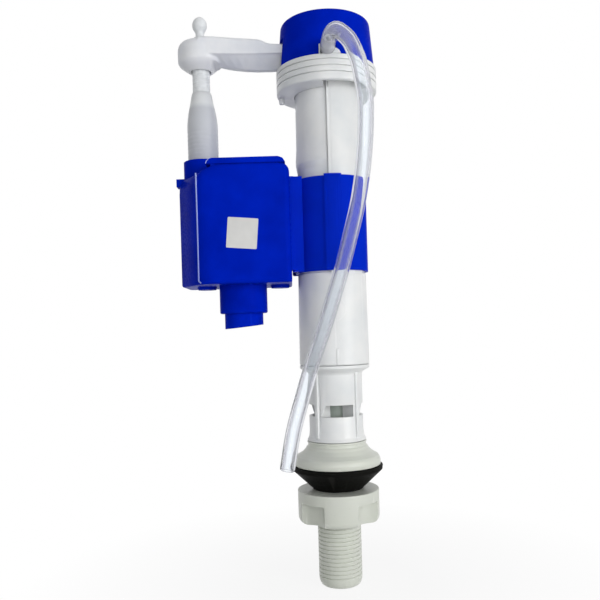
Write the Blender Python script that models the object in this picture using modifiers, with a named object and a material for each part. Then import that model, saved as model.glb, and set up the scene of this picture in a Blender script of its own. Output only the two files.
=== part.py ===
"""Toilet fill valve: telescopic riser with a float chamber on a clip, metres, +Z up.

The origin is on the valve's axis in the plane where the cone gasket meets the lock nut, which is
the underside of the tank floor. The float chamber stands towards -X and the refill hose leaves
the head towards -Y.
"""
import math

import bmesh
import bpy
from mathutils import Matrix, Vector

# Fits
SEAT_GAP = 0.0003
RUN_GAP = 0.0003
ROUND_STEPS = 32
SMALL_STEPS = 20
EDGE = 0.0006
FINE_EDGE = 0.0003
WIDE_EDGE = 0.0012
ROOT = 0.0006
OVERSHOOT = 0.0020

# Threaded shank and bell flange
THREAD_RADIUS = 0.01048
SHANK_LENGTH = 0.0466
SHANK_BORE = 0.0072
SHANK_CHAMFER = 0.0011
FLANGE_RADIUS = 0.0209
FLANGE_EDGE = 0.0038
FLANGE_ROUND = 0.0007
BELL_RISE = 0.0038
NECK_RADIUS = 0.0150
NECK_HEIGHT = 0.0034
BASE_FLOOR = 0.0025
BASE_DEPTH = 0.0137
FLOOR_HOLE = 0.0034

# Cone gasket
GASKET_HEIGHT = 0.0112
GASKET_RADIUS = 0.0220
GASKET_LIP = 0.0019
GASKET_SMALL_RADIUS = 0.01225

# Lock nut
NUT_RADIUS = 0.0197
NUT_DISC = 0.0050
NUT_HEIGHT = 0.0156
NUT_HUB = 0.0029
NUT_LUGS = 4
NUT_LUG_TURN = math.radians(-6.0)
NUT_CORNER = 0.0036
NUT_NOTCH = 0.0087

# Inlet strainer
STRAINER_DEPTH = 0.0060
STRAINER_RIM = 0.0016
STRAINER_HEIGHT = 0.0080
STRAINER_WALL = 0.0009
STRAINER_STEP = 0.0012
STRAINER_ROOF = 0.0013
STRAINER_SLOT = 0.0011
STRAINER_SLOTS = 3

# Supply tube and its two rings
SUPPLY_RADIUS = 0.0044
SUPPLY_BORE = 0.0032
SUPPLY_HEAD_RADIUS = 0.0048
SUPPLY_HEAD = 0.0080
SUPPLY_LENGTH = 0.1152
FOOT_RADIUS = 0.0066
FOOT_RING_CORD = 0.0017
TOP_RING_CORD = 0.0010
RING_GROOVE_WALL = 0.0007
RING_EASE = 0.0001

# Outlet cage: column, ribs, windows, lip and spigot
COLUMN_RADIUS = 0.01305
COLUMN_WALL = 0.0018
COLUMN_HEIGHT = 0.0328
COLUMN_FOOT_RADIUS = 0.0142
COLUMN_FLARE = 0.0030
PLUG_RADIUS = 0.0124
PLUG_DEPTH = 0.0067
CAGE_FLOOR = 0.0018
RIB_REACH = 0.0008
RIB_WIDTH = 0.0019
RIBS = 4
WINDOW_WIDTH = 0.0152
WINDOW_HEIGHT = 0.0056
WINDOW_RISE = 0.0119
LIP_RADIUS = 0.0169
LIP_HEIGHT = 0.0034
LIP_EDGE = 0.0016
SPIGOT_RADIUS = 0.0145
SPIGOT_WALL = 0.0016
SPIGOT_LENGTH = 0.0526

# Riser sleeve
RISER_LENGTH = 0.1327
RISER_FOOT_RADIUS = 0.0169
RISER_STEP_RADIUS = 0.0164
RISER_CLIP_RADIUS = 0.0159
RISER_TOP_RADIUS = 0.0154
RISER_TOP_BORE = 0.0134
RISER_STEP_RISE = 0.0433
RISER_BORE_ROOM = 0.0060
RISER_SHOULDER = 0.0030
BEAD_RISE = 0.0973
BEAD_HEIGHT = 0.0026
BEAD_REACH = 0.0008
BEAD_WAIST = 0.0004
BEAD_LEAD = 0.0040
RAIL_REACH = 0.0010
RAIL_START = math.radians(-6.0)
RAIL_END = math.radians(56.0)

# Head with three grooves
HEAD_RADIUS = 0.0242
HEAD_HEIGHT = 0.0142
HEAD_SKIRT = 0.0018
HEAD_SOCKET = 0.0020
HEAD_DECK = 0.0025
HEAD_CHAMBER = 0.0065
GROOVE_COUNT = 3
GROOVE_PITCH = 0.0029
GROOVE_TOP = 0.0018
GROOVE_WIDTH = 0.0010
GROOVE_DEPTH = 0.0005
SEAT_BORE = 0.0042
SEAT_LIP = 0.0012
SEAT_WALL = 0.0013
BOSS_WALL = 0.0017
BOSS_DROP = 0.0060
FLOW_HOLE = 0.0017
FLOW_HOLES = 6

# Drop tube
DROP_RADIUS = 0.0068
DROP_BORE = 0.0054
DROP_LENGTH = 0.1224
DROP_LEAD = 0.0020

# Diaphragm and its cover with the pilot nozzle
DIAPHRAGM_RADIUS = 0.0131
DIAPHRAGM_THICK = 0.0016
DIAPHRAGM_TRAVEL = 0.0015
COVER_RADIUS = 0.0152
COVER_HEIGHT = 0.0026
COVER_TOP = 0.0011
NOZZLE_RADIUS = 0.0015
NOZZLE_RISE = 0.0011
NOZZLE_BORE = 0.0006

# Cap
CAP_RADIUS = 0.0233
CAP_TOP_RADIUS = 0.0215
CAP_HEIGHT = 0.0217
CAP_WALL = 0.0016
CAP_FILLET = 0.0030
CAP_DOME = 0.0004
CAP_SLOT = 0.0174
CAP_SLOT_RISE = 0.0158
CAP_SLOT_CORNER = 0.0012
CAP_STEPS = 40

# Refill nipple and hose
NIPPLE_RISE = 0.0031
NIPPLE_COLLAR = 0.0042
NIPPLE_ROOT_Y = -0.0168
NIPPLE_FACE_Y = -0.0242
NIPPLE_TIP_Y = -0.0272
NIPPLE_RADIUS = 0.0022
NIPPLE_BORE = 0.0013
HOSE_RADIUS = 0.0035
HOSE_STEP = 0.0100
HOSE_ROUTE = [
    (0.0000, -0.0275, 0.2048), (0.0003, -0.0325, 0.2051), (0.0012, -0.0382, 0.2054),
    (0.0034, -0.0435, 0.2040), (0.0075, -0.0470, 0.1988), (0.0099, -0.0483, 0.1932),
    (0.0118, -0.0480, 0.1875), (0.0141, -0.0450, 0.1750), (0.0145, -0.0420, 0.1670),
    (0.0140, -0.0380, 0.1550), (0.0128, -0.0350, 0.1440), (0.0105, -0.0320, 0.1310),
    (0.0069, -0.0290, 0.1170), (0.0033, -0.0270, 0.1040), (-0.0011, -0.0260, 0.0905),
    (-0.0057, -0.0253, 0.0770), (-0.0115, -0.0250, 0.0610), (-0.0166, -0.0250, 0.0450),
    (-0.0208, -0.0250, 0.0305), (-0.0240, -0.0250, 0.0138),
]

# Lever, pivot pin and pilot pad
PIVOT_X = -0.0165
PIVOT_RISE = 0.0080
LEVER_SWING = math.radians(12.0)
PIN_RADIUS = 0.0015
HUB_RADIUS = 0.0032
HUB_HALF = 0.0060
HUB_STEPS = 24
EAR_THICK = 0.0020
EAR_RADIUS = 0.0025
BEAM_HALF = 0.0080
BEAM_DEPTH = 0.0087
BEAM_STEP = 0.0027
BEAM_STEP_OUT = 0.0050
BEAM_STEP_RUN = 0.0030
WEB_HALF = 0.0030
WEB_DEPTH = 0.0055
WEB_START_DROP = 0.0016
WEB_BEND = (0.0080, 0.0160)
WEB_END_ROUND = 0.0030
ARM_HALF = 0.0036
ARM_ROOT = (0.0019, 0.0029)
LEVER_TOP_RISE = 0.0078
LEVER_BOSS_RADIUS = 0.0109
LEVER_BOSS_HEIGHT = 0.0110
LEVER_BOSS_WALL = 0.0016
LEVER_BOSS_PLATE = 0.0030
LEVER_BOSS_ROUND = 0.0024
LEVER_SLOT_LENGTH = 0.0100
LEVER_SLOT_WIDTH = 0.0050
LEVER_SLOT_ROUND = 0.0024
PAD_RADIUS = 0.0022
PAD_HEIGHT = 0.0025
PAD_PROUD = 0.0010
PAD_CUP_RADIUS = 0.0038
PAD_CUP_HEIGHT = 0.0038

# Adjusting screw and float stem
ROD_X = -0.0608
SCREW_NECK = 0.0021
SCREW_RADIUS = 0.0042
SCREW_COLLAR = 0.0034
SCREW_COLLAR_HEIGHT = 0.0012
SCREW_PLAY = 0.0012
SCREW_ENTRY = 0.0504
KNOB_RADIUS = 0.00355
KNOB_HEIGHT = 0.0079
KNOB_RISE = 0.0128
STEM_RADIUS = 0.0074
STEM_TOP_RADIUS = 0.0052
STEM_LENGTH = 0.0577
STEM_FLARE = 0.0148
STEM_PLUG_RADIUS = 0.0053
STEM_PLUG = 0.0130
STEM_PLUG_FLOOR = 0.0020
STEM_STEPS = 24

# Float chamber, lid and spout
CHAMBER_FLOOR_Z = 0.0990
CHAMBER_HEIGHT = 0.0545
CHAMBER_LEFT = -0.0722
CHAMBER_RIGHT = -0.0191
CHAMBER_FRONT = -0.0240
CHAMBER_BACK = 0.0200
CHAMBER_CHAMFER_X = 0.0112
CHAMBER_CHAMFER_Y = 0.0190
CHAMBER_WALL = 0.0015
CHAMBER_BASE = 0.0017
CHAMBER_CORNER = 0.0025
CHAMBER_LEFT_ROUND = 0.0120
CHAMBER_RIGHT_ROUND = 0.0050
FOOT_PAD_RADIUS = 0.0050
FOOT_PAD_DROP = 0.0013
LID_THICK = 0.0026
LID_LEFT = -0.0560
LID_RIGHT = -0.0224
LID_PLUG = 0.0030
LID_INSET = 0.0009
LID_CORNER = 0.0010
COLLAR_RADIUS = 0.0096
COLLAR_RISE = 0.0060
COLLAR_DROP = 0.0075
TAB_REACH = 0.0035
TAB_WIDTH = 0.0060
TAB_HEIGHT = 0.0037
TAB_RISE = 0.0018
COLLAR_STEPS = 28
COLLAR_PLAY = 0.0005
SPOUT_X = -0.0430
SPOUT_Y = -0.0040
SPOUT_RADIUS = 0.0114
SPOUT_WALL = 0.0019
SPOUT_DROP = 0.0133
SPOUT_STEPS = 28
DRAIN_RADIUS = 0.0062
INSERT_WALL = 0.0012
INSERT_DROP = 0.0073
INSERT_CUT = 0.0018
INSERT_LEDGE = 0.0010
INSERT_LEDGE_BORE = 0.0062
DISC_RADIUS = 0.0075
DISC_THICK = 0.0014
DISC_STEM = 0.0012
DISC_STEM_DROP = 0.0050
DISC_TRAVEL = 0.0040

# Float
FLOAT_GAP = 0.0018
FLOAT_HEIGHT = 0.0340
FLOAT_WALL = 0.0012
FLOAT_TOP = 0.0015
FLOAT_SLEEVE_WALL = 0.0014
FLOAT_REST = 0.0006

# Clip
CLIP_BOTTOM_RISE = 0.0443
CLIP_HEIGHT = 0.0445
CLIP_WALL = 0.0014
CLIP_MOUTH = math.radians(62.0)
CLIP_ARM_Y = 0.0140
CLIP_ARM_THICK = 0.0036
CLIP_ARM_BITE = 0.0026
CLIP_TOE = 0.0070
CLIP_TOE_THICK = 0.0014
CLIP_TAB_HEIGHT = 0.0012
CLIP_TAB_WIDTH = 0.0078
CLIP_PAD_MARGIN = math.radians(4.5)
CLIP_RAIL_PLAY = math.radians(1.2)

# Levels that follow from the sizes above
FLANGE_Z = GASKET_HEIGHT + SEAT_GAP
NECK_Z = FLANGE_Z + FLANGE_EDGE + FLANGE_ROUND + BELL_RISE + NECK_HEIGHT
COLUMN_Z = NECK_Z + SEAT_GAP
PLUG_Z = COLUMN_Z - PLUG_DEPTH
LIP_Z = COLUMN_Z + COLUMN_HEIGHT
RISER_Z = LIP_Z + LIP_HEIGHT + SEAT_GAP
RISER_TOP_Z = RISER_Z + RISER_LENGTH
SOCKET_TOP_Z = RISER_TOP_Z + SEAT_GAP
HEAD_TOP_Z = SOCKET_TOP_Z + HEAD_DECK + HEAD_CHAMBER
HEAD_Z = HEAD_TOP_Z - HEAD_HEIGHT
DECK_Z = SOCKET_TOP_Z + HEAD_DECK
COVER_Z = HEAD_TOP_Z - COVER_HEIGHT
CAP_Z = HEAD_TOP_Z + SEAT_GAP
PIVOT_Z = HEAD_TOP_Z + PIVOT_RISE
LEVER_TOP_Z = PIVOT_Z + LEVER_TOP_RISE
NIPPLE_Z = HEAD_TOP_Z + NIPPLE_RISE
PIN_HALF = HUB_HALF + RUN_GAP + EAR_THICK
CHAMBER_TOP_Z = CHAMBER_FLOOR_Z + CHAMBER_HEIGHT
FLOAT_Z = CHAMBER_FLOOR_Z + CHAMBER_BASE + FLOAT_REST
FLOAT_TOP_Z = FLOAT_Z + FLOAT_HEIGHT
STEM_Z = FLOAT_TOP_Z + SEAT_GAP
STEM_TOP_Z = STEM_Z + STEM_LENGTH
PLATE_Z = LEVER_TOP_Z - LEVER_BOSS_PLATE
CLIP_Z = RISER_Z + CLIP_BOTTOM_RISE
CLIP_BAND = RISER_CLIP_RADIUS + SEAT_GAP + CLIP_WALL
FOOT_Z = NECK_Z - BASE_DEPTH
SUPPLY_TOP_Z = FOOT_Z + SEAT_GAP + SUPPLY_LENGTH
LEDGE_Z = CHAMBER_FLOOR_Z - 2.0 * SEAT_GAP - DISC_TRAVEL - DISC_THICK

# Colours, linear RGB
WHITE = (0.78, 0.80, 0.80)
WARM_WHITE = (0.70, 0.72, 0.66)
MILK_WHITE = (0.66, 0.69, 0.70)
BLUE = (0.0, 0.010, 0.46)
BLACK = (0.010, 0.010, 0.009)
CLEAR = (0.55, 0.58, 0.58)

model = None
cutters = None


def clear_scene():
    for obj in list(bpy.data.objects):
        bpy.data.objects.remove(obj, do_unlink=True)


def make_collection(name):
    group = bpy.data.collections.new(name)
    bpy.context.scene.collection.children.link(group)
    return group


def material(name, colour, roughness):
    mat = bpy.data.materials.new(name)
    mat.use_nodes = True
    shader = mat.node_tree.nodes["Principled BSDF"]
    shader.inputs["Base Color"].default_value = (*colour, 1.0)
    shader.inputs["Roughness"].default_value = roughness
    shader.inputs["Metallic"].default_value = 0.0
    return mat


def add_object(name, mesh, group):
    obj = bpy.data.objects.new(name, mesh)
    group.objects.link(obj)
    if group is cutters:
        obj.hide_render = True
        obj.display_type = "WIRE"
    return obj


def mesh_from(name, shape):
    mesh = bpy.data.meshes.new(name)
    shape.to_mesh(mesh)
    shape.free()
    return mesh


def turned(name, profile, group, closed=True, steps=ROUND_STEPS, centre=(0.0, 0.0)):
    """Revolve (radius, height) points, which run down the outer side, about a vertical axis."""
    shape = bmesh.new()
    corners = [shape.verts.new((radius, 0.0, height)) for radius, height in profile]
    for first, second in zip(corners, corners[1:]):
        shape.edges.new((first, second))
    if closed:
        shape.edges.new((corners[-1], corners[0]))
    obj = add_object(name, mesh_from(name, shape), group)
    obj.location = (centre[0], centre[1], 0.0)
    screw = obj.modifiers.new("Turn", "SCREW")
    screw.steps = steps
    screw.render_steps = steps
    screw.use_merge_vertices = True
    screw.merge_threshold = 0.00001
    return obj


def block(name, low, high, group):
    """Box between two opposite corners."""
    shape = bmesh.new()
    bmesh.ops.create_cube(shape, size=1.0)
    size = Vector(high) - Vector(low)
    middle = (Vector(high) + Vector(low)) / 2.0
    place = Matrix.Translation(middle) @ Matrix.Diagonal((*size, 1.0))
    bmesh.ops.transform(shape, matrix=place, verts=shape.verts)
    return add_object(name, mesh_from(name, shape), group)


def cylinder(name, radius, start, end, group, steps=SMALL_STEPS, end_radius=None):
    """Cylinder or cone between the centres of its two ends."""
    start, end = Vector(start), Vector(end)
    axis = end - start
    shape = bmesh.new()
    bmesh.ops.create_cone(shape, cap_ends=True, segments=steps, radius1=radius,
                          radius2=radius if end_radius is None else end_radius, depth=axis.length)
    turn = Vector((0.0, 0.0, 1.0)).rotation_difference(axis).to_matrix().to_4x4()
    place = Matrix.Translation((start + end) / 2.0) @ turn
    bmesh.ops.transform(shape, matrix=place, verts=shape.verts)
    return add_object(name, mesh_from(name, shape), group)


def rounded(corners, steps=4):
    """Turn (x, y, radius) corners into an outline with an arc at each radius."""
    points = []
    count = len(corners)
    for index, (x, y, radius) in enumerate(corners):
        here = Vector((x, y))
        before = Vector(corners[index - 1][:2]) - here
        after = Vector(corners[(index + 1) % count][:2]) - here
        half = before.angle(after) / 2.0
        reach = radius / math.tan(half)
        if radius <= 0.0:
            points.append((x, y))
            continue
        start = here + before.normalized() * reach
        end = here + after.normalized() * reach
        middle = here + (before.normalized() + after.normalized()).normalized() * (radius / math.sin(half))
        first = math.atan2(start.y - middle.y, start.x - middle.x)
        sweep = math.atan2(end.y - middle.y, end.x - middle.x) - first
        sweep = (sweep + math.pi) % (2.0 * math.pi) - math.pi
        for step in range(steps + 1):
            angle = first + sweep * step / steps
            points.append((middle.x + radius * math.cos(angle), middle.y + radius * math.sin(angle)))
    return points


def inset(corners, amount):
    """Move each side of a counter-clockwise convex outline inwards, and shrink its corner radii."""
    result = []
    count = len(corners)
    for index, (x, y, radius) in enumerate(corners):
        here = Vector((x, y))
        along = (here - Vector(corners[index - 1][:2])).normalized()
        away = (Vector(corners[(index + 1) % count][:2]) - here).normalized()
        normal_in = Vector((-along.y, along.x)) + Vector((-away.y, away.x))
        shift = normal_in * (amount / (1.0 + along.dot(away)))
        result.append((x + shift.x, y + shift.y, max(radius - amount, 0.0005)))
    return result


def plate(name, outline, low, high, group, upright=False):
    """Flat outline with a thickness: in XY between two heights, or upright in XZ between two Y."""
    curve = bpy.data.curves.new(name, "CURVE")
    curve.dimensions = "2D"
    curve.fill_mode = "BOTH"
    curve.extrude = (high - low) / 2.0
    spline = curve.splines.new("POLY")
    spline.points.add(len(outline) - 1)
    for point, (x, y) in zip(spline.points, outline):
        point.co = (x, y, 0.0, 1.0)
    spline.use_cyclic_u = True
    flat = bpy.data.objects.new(name + "_outline", curve)
    bpy.context.scene.collection.objects.link(flat)
    bpy.context.view_layer.update()
    graph = bpy.context.evaluated_depsgraph_get()
    mesh = bpy.data.meshes.new_from_object(flat.evaluated_get(graph))
    bpy.data.objects.remove(flat, do_unlink=True)
    shape = bmesh.new()
    shape.from_mesh(mesh)
    bmesh.ops.remove_doubles(shape, verts=shape.verts, dist=0.000001)
    place = Matrix.Translation((0.0, 0.0, (low + high) / 2.0))
    if upright:
        place = Matrix.Translation((0.0, (low + high) / 2.0, 0.0)) @ Matrix.Rotation(math.pi / 2.0, 4, "X")
    bmesh.ops.transform(shape, matrix=place, verts=shape.verts)
    bmesh.ops.recalc_face_normals(shape, faces=shape.faces)
    shape.to_mesh(mesh)
    shape.free()
    mesh.materials.clear()
    return add_object(name, mesh, group)


def sector(inner, outer, start, end, steps=10):
    """Ring segment, with angles from the front (-Y) towards +X."""
    def at(radius, angle):
        return (radius * math.sin(angle), -radius * math.cos(angle))
    angles = [start + (end - start) * step / steps for step in range(steps + 1)]
    return [at(outer, angle) for angle in angles] + [at(inner, angle) for angle in reversed(angles)]


def combine(obj, other, operation):
    change = obj.modifiers.new(operation.title(), "BOOLEAN")
    change.operation = operation
    change.solver = "EXACT"
    change.object = other
    return obj


def cut(obj, other):
    return combine(obj, other, "DIFFERENCE")


def join(obj, other):
    return combine(obj, other, "UNION")


def smooth(obj, degrees=35.0):
    obj.data.shade_smooth()
    obj.data.set_sharp_from_angle(angle=math.radians(degrees))


def arc(centre, radius, first, last, steps):
    """Points of an arc in a profile, from one angle to another."""
    turn = (last - first) / steps
    return [(centre[0] + radius[0] * math.cos(first + turn * step),
             centre[1] + radius[1] * math.sin(first + turn * step)) for step in range(steps + 1)]


def bore_cutter(name, radius, low, high, centre=(0.0, 0.0), steps=SMALL_STEPS):
    return cylinder(name, radius, (*centre, low), (*centre, high), cutters, steps)


def make_base_shank():
    """Threaded shank, flange and bell, with a floor that the supply tube stands on."""
    rim_z = FLANGE_Z + FLANGE_EDGE
    bell = arc((FLANGE_RADIUS - EDGE, rim_z + FLANGE_ROUND + BELL_RISE),
               (FLANGE_RADIUS - EDGE - NECK_RADIUS, BELL_RISE), math.pi, 1.5 * math.pi, 4)
    socket = PLUG_RADIUS + SEAT_GAP
    profile = [(NECK_RADIUS - EDGE, NECK_Z), (NECK_RADIUS, NECK_Z - EDGE)]
    profile += bell
    profile += [(FLANGE_RADIUS, rim_z), (FLANGE_RADIUS, FLANGE_Z), (THREAD_RADIUS, FLANGE_Z),
                (THREAD_RADIUS, SHANK_CHAMFER - SHANK_LENGTH),
                (THREAD_RADIUS - SHANK_CHAMFER, -SHANK_LENGTH), (SHANK_BORE, -SHANK_LENGTH),
                (SHANK_BORE, FOOT_Z - BASE_FLOOR), (FLOOR_HOLE, FOOT_Z - BASE_FLOOR),
                (FLOOR_HOLE, FOOT_Z), (FOOT_RADIUS + SEAT_GAP, FOOT_Z),
                (FOOT_RADIUS + SEAT_GAP, PLUG_Z - SEAT_GAP), (socket, PLUG_Z - SEAT_GAP), (socket, NECK_Z)]
    return turned("base_shank", profile, model)


def make_inlet_strainer():
    """Cup with a rim, cut by crossed slots, wide end down in the shank's bore."""
    rim_z = STRAINER_DEPTH - SHANK_LENGTH
    outer = SHANK_BORE - SEAT_GAP
    cup = outer - STRAINER_STEP
    top = rim_z + STRAINER_HEIGHT
    profile = [(0.0, top), (cup - EDGE, top), (cup, top - EDGE), (cup, rim_z + STRAINER_RIM),
               (outer, rim_z + STRAINER_RIM), (outer, rim_z), (cup - STRAINER_WALL, rim_z),
               (cup - STRAINER_WALL, top - STRAINER_ROOF), (0.0, top - STRAINER_ROOF)]
    strainer = turned("inlet_strainer", profile, model, closed=False, steps=SMALL_STEPS)
    pitch = 2.0 * (cup - STRAINER_WALL) / (STRAINER_SLOTS + 1)
    slot_low = rim_z + STRAINER_RIM + EDGE
    for index in range(STRAINER_SLOTS):
        offset = (index - (STRAINER_SLOTS - 1) / 2.0) * pitch
        slot = block("strainer_slot_%d" % index,
                     (offset - STRAINER_SLOT / 2.0, -outer, slot_low),
                     (offset + STRAINER_SLOT / 2.0, outer, top - STRAINER_ROOF - EDGE), cutters)
        cut(strainer, slot)
    return strainer


def ring(name, radius, cord, height):
    """O-ring about the valve's axis."""
    points = arc((radius, height), (cord / 2.0, cord / 2.0), math.pi / 2.0, -1.5 * math.pi, 6)[:-1]
    return turned(name, points, model, steps=SMALL_STEPS)


def make_foot_o_ring():
    inner = SUPPLY_RADIUS + SEAT_GAP
    outer = FOOT_RADIUS - SEAT_GAP / 2.0
    return ring("foot_o_ring", (inner + outer) / 2.0, min(FOOT_RING_CORD, outer - inner),
                FOOT_Z + SEAT_GAP + FOOT_RING_CORD / 2.0)


def make_cone_gasket():
    inner = THREAD_RADIUS + SEAT_GAP
    profile = [(GASKET_RADIUS, GASKET_HEIGHT), (GASKET_RADIUS, GASKET_HEIGHT - GASKET_LIP),
               (GASKET_SMALL_RADIUS + EDGE, EDGE), (GASKET_SMALL_RADIUS, 0.0),
               (inner, 0.0), (inner, GASKET_HEIGHT)]
    return turned("cone_gasket", profile, model)


def make_lock_nut():
    """Disc with lugs below it, parted by round hollows that leave a hub."""
    top = -SEAT_GAP
    foot = top - NUT_HEIGHT
    bore = THREAD_RADIUS + RUN_GAP
    profile = [(NUT_RADIUS - EDGE, top), (NUT_RADIUS, top - EDGE), (NUT_RADIUS, foot + NUT_CORNER)]
    profile += arc((NUT_RADIUS - NUT_CORNER, foot + NUT_CORNER), (NUT_CORNER, NUT_CORNER),
                   0.0, -math.pi / 2.0, 4)[1:]
    profile += [(bore, foot), (bore, top)]
    nut = turned("lock_nut", profile, model)
    away = bore + NUT_HUB + NUT_NOTCH
    for index in range(NUT_LUGS):
        angle = NUT_LUG_TURN + (index + 0.5) * 2.0 * math.pi / NUT_LUGS
        centre = (away * math.sin(angle), -away * math.cos(angle))
        cut(nut, bore_cutter("nut_hollow_%d" % index, NUT_NOTCH, foot - NUT_DISC, top - NUT_DISC, centre))
    return nut


def make_supply_tube():
    """Inner tube with a foot and, near its top, a groove for the sliding ring."""
    foot = FOOT_Z + SEAT_GAP
    flange = FOOT_Z + 2.0 * SEAT_GAP + FOOT_RING_CORD
    ring_z = SUPPLY_TOP_Z - SUPPLY_HEAD / 2.0
    half_groove = TOP_RING_CORD / 2.0 + SEAT_GAP
    groove = SUPPLY_BORE + RING_GROOVE_WALL
    head_z = SUPPLY_TOP_Z - SUPPLY_HEAD
    profile = [(SUPPLY_HEAD_RADIUS - FINE_EDGE, SUPPLY_TOP_Z), (SUPPLY_HEAD_RADIUS, SUPPLY_TOP_Z - EDGE),
               (SUPPLY_HEAD_RADIUS, ring_z + half_groove), (groove, ring_z + half_groove),
               (groove, ring_z - half_groove), (SUPPLY_HEAD_RADIUS, ring_z - half_groove),
               (SUPPLY_HEAD_RADIUS, head_z), (SUPPLY_RADIUS, head_z - EDGE),
               (SUPPLY_RADIUS, PLUG_Z - SEAT_GAP), (FOOT_RADIUS, PLUG_Z - SEAT_GAP),
               (FOOT_RADIUS, flange), (SUPPLY_RADIUS, flange), (SUPPLY_RADIUS, foot),
               (SUPPLY_BORE, foot), (SUPPLY_BORE, SUPPLY_TOP_Z)]
    return turned("supply_tube", profile, model, steps=SMALL_STEPS)


def make_tube_o_ring():
    low = SUPPLY_BORE + RING_GROOVE_WALL + RING_EASE
    high = DROP_BORE - RING_EASE
    return ring("tube_o_ring", (low + high) / 2.0, min(TOP_RING_CORD, high - low),
                SUPPLY_TOP_Z - SUPPLY_HEAD / 2.0)


def make_outlet_cage():
    """Column with ribs and windows, a lip, and a spigot that the riser slides on."""
    inner = COLUMN_RADIUS - COLUMN_WALL
    spigot_top = LIP_Z + LIP_HEIGHT + SPIGOT_LENGTH
    spigot_bore = SPIGOT_RADIUS - SPIGOT_WALL
    hole = SUPPLY_RADIUS + SEAT_GAP
    lip_top = LIP_Z + LIP_HEIGHT
    profile = [(SPIGOT_RADIUS - FINE_EDGE, spigot_top), (SPIGOT_RADIUS, spigot_top - EDGE),
               (SPIGOT_RADIUS, lip_top), (LIP_RADIUS, lip_top), (LIP_RADIUS, lip_top - LIP_EDGE),
               (COLUMN_RADIUS + EDGE, LIP_Z), (COLUMN_RADIUS, LIP_Z - EDGE),
               (COLUMN_RADIUS, COLUMN_Z + COLUMN_FLARE), (COLUMN_FOOT_RADIUS, COLUMN_Z + WIDE_EDGE),
               (COLUMN_FOOT_RADIUS, COLUMN_Z), (PLUG_RADIUS, COLUMN_Z), (PLUG_RADIUS, PLUG_Z),
               (hole, PLUG_Z), (hole, PLUG_Z + CAGE_FLOOR), (inner, PLUG_Z + CAGE_FLOOR),
               (inner, LIP_Z), (spigot_bore, lip_top + EDGE), (spigot_bore, spigot_top)]
    cage = turned("outlet_cage", profile, model)
    for index in range(RIBS):
        rib = block("cage_rib_%d" % index, (inner + ROOT, -RIB_WIDTH / 2.0, COLUMN_Z + ROOT),
                    (COLUMN_RADIUS + RIB_REACH, RIB_WIDTH / 2.0, LIP_Z + ROOT), cutters)
        rib.rotation_euler.z = (index + 0.5) * 2.0 * math.pi / RIBS
        join(cage, rib)
    low = COLUMN_Z + WINDOW_RISE
    high = low + WINDOW_HEIGHT
    reach = COLUMN_RADIUS + RIB_REACH + OVERSHOOT
    half = WINDOW_WIDTH / 2.0
    cut(cage, block("window_front_back", (-half, -reach, low), (half, reach, high), cutters))
    cut(cage, block("window_sides", (-reach, -half, low), (reach, half, high), cutters))
    return cage


def make_riser_sleeve():
    """Tapered sleeve with a step under the clip, a bead, and the rail that keeps the clip in line."""
    step = RISER_Z + RISER_STEP_RISE
    bead = RISER_Z + BEAD_RISE
    bore = SPIGOT_RADIUS + RUN_GAP
    bore_top = LIP_Z + LIP_HEIGHT + SPIGOT_LENGTH + RISER_BORE_ROOM
    waist = RISER_CLIP_RADIUS - BEAD_WAIST
    profile = [(RISER_TOP_RADIUS - FINE_EDGE, RISER_TOP_Z), (RISER_TOP_RADIUS, RISER_TOP_Z - EDGE),
               (RISER_TOP_RADIUS, HEAD_Z), (waist, bead + BEAD_HEIGHT),
               (waist + BEAD_REACH, bead + BEAD_HEIGHT - EDGE), (waist + BEAD_REACH, bead + EDGE),
               (waist, bead), (waist, bead - BEAD_LEAD), (RISER_CLIP_RADIUS, bead - BEAD_LEAD - WIDE_EDGE),
               (RISER_CLIP_RADIUS, step + FINE_EDGE), (RISER_STEP_RADIUS, step),
               (RISER_FOOT_RADIUS, RISER_Z + FINE_EDGE), (RISER_FOOT_RADIUS - FINE_EDGE, RISER_Z),
               (bore, RISER_Z), (bore, bore_top), (RISER_TOP_BORE, bore_top + RISER_SHOULDER),
               (RISER_TOP_BORE, RISER_TOP_Z)]
    riser = turned("riser_sleeve", profile, model)
    reach = RISER_CLIP_RADIUS + RAIL_REACH
    lower_rail = sector(bore + ROOT / 2.0, reach, RAIL_START, RAIL_END)
    join(riser, plate("riser_rail", lower_rail, step - ROOT, bore_top, cutters))
    upper_rail = sector(RISER_TOP_BORE + ROOT, reach, RAIL_START, RAIL_END)
    join(riser, plate("riser_rail_upper", upper_rail, bore_top - ROOT, HEAD_Z - SEAT_GAP, cutters))
    return riser


def make_drop_tube():
    """Tube that hangs from the head's boss over the supply tube."""
    top = SOCKET_TOP_Z - SEAT_GAP
    low = top - DROP_LENGTH
    profile = [(DROP_RADIUS - FINE_EDGE, top), (DROP_RADIUS, top - FINE_EDGE), (DROP_RADIUS, low),
               (DROP_BORE + EDGE, low), (DROP_BORE, low + DROP_LEAD), (DROP_BORE, top)]
    return turned("drop_tube", profile, model, steps=SMALL_STEPS)


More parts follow.
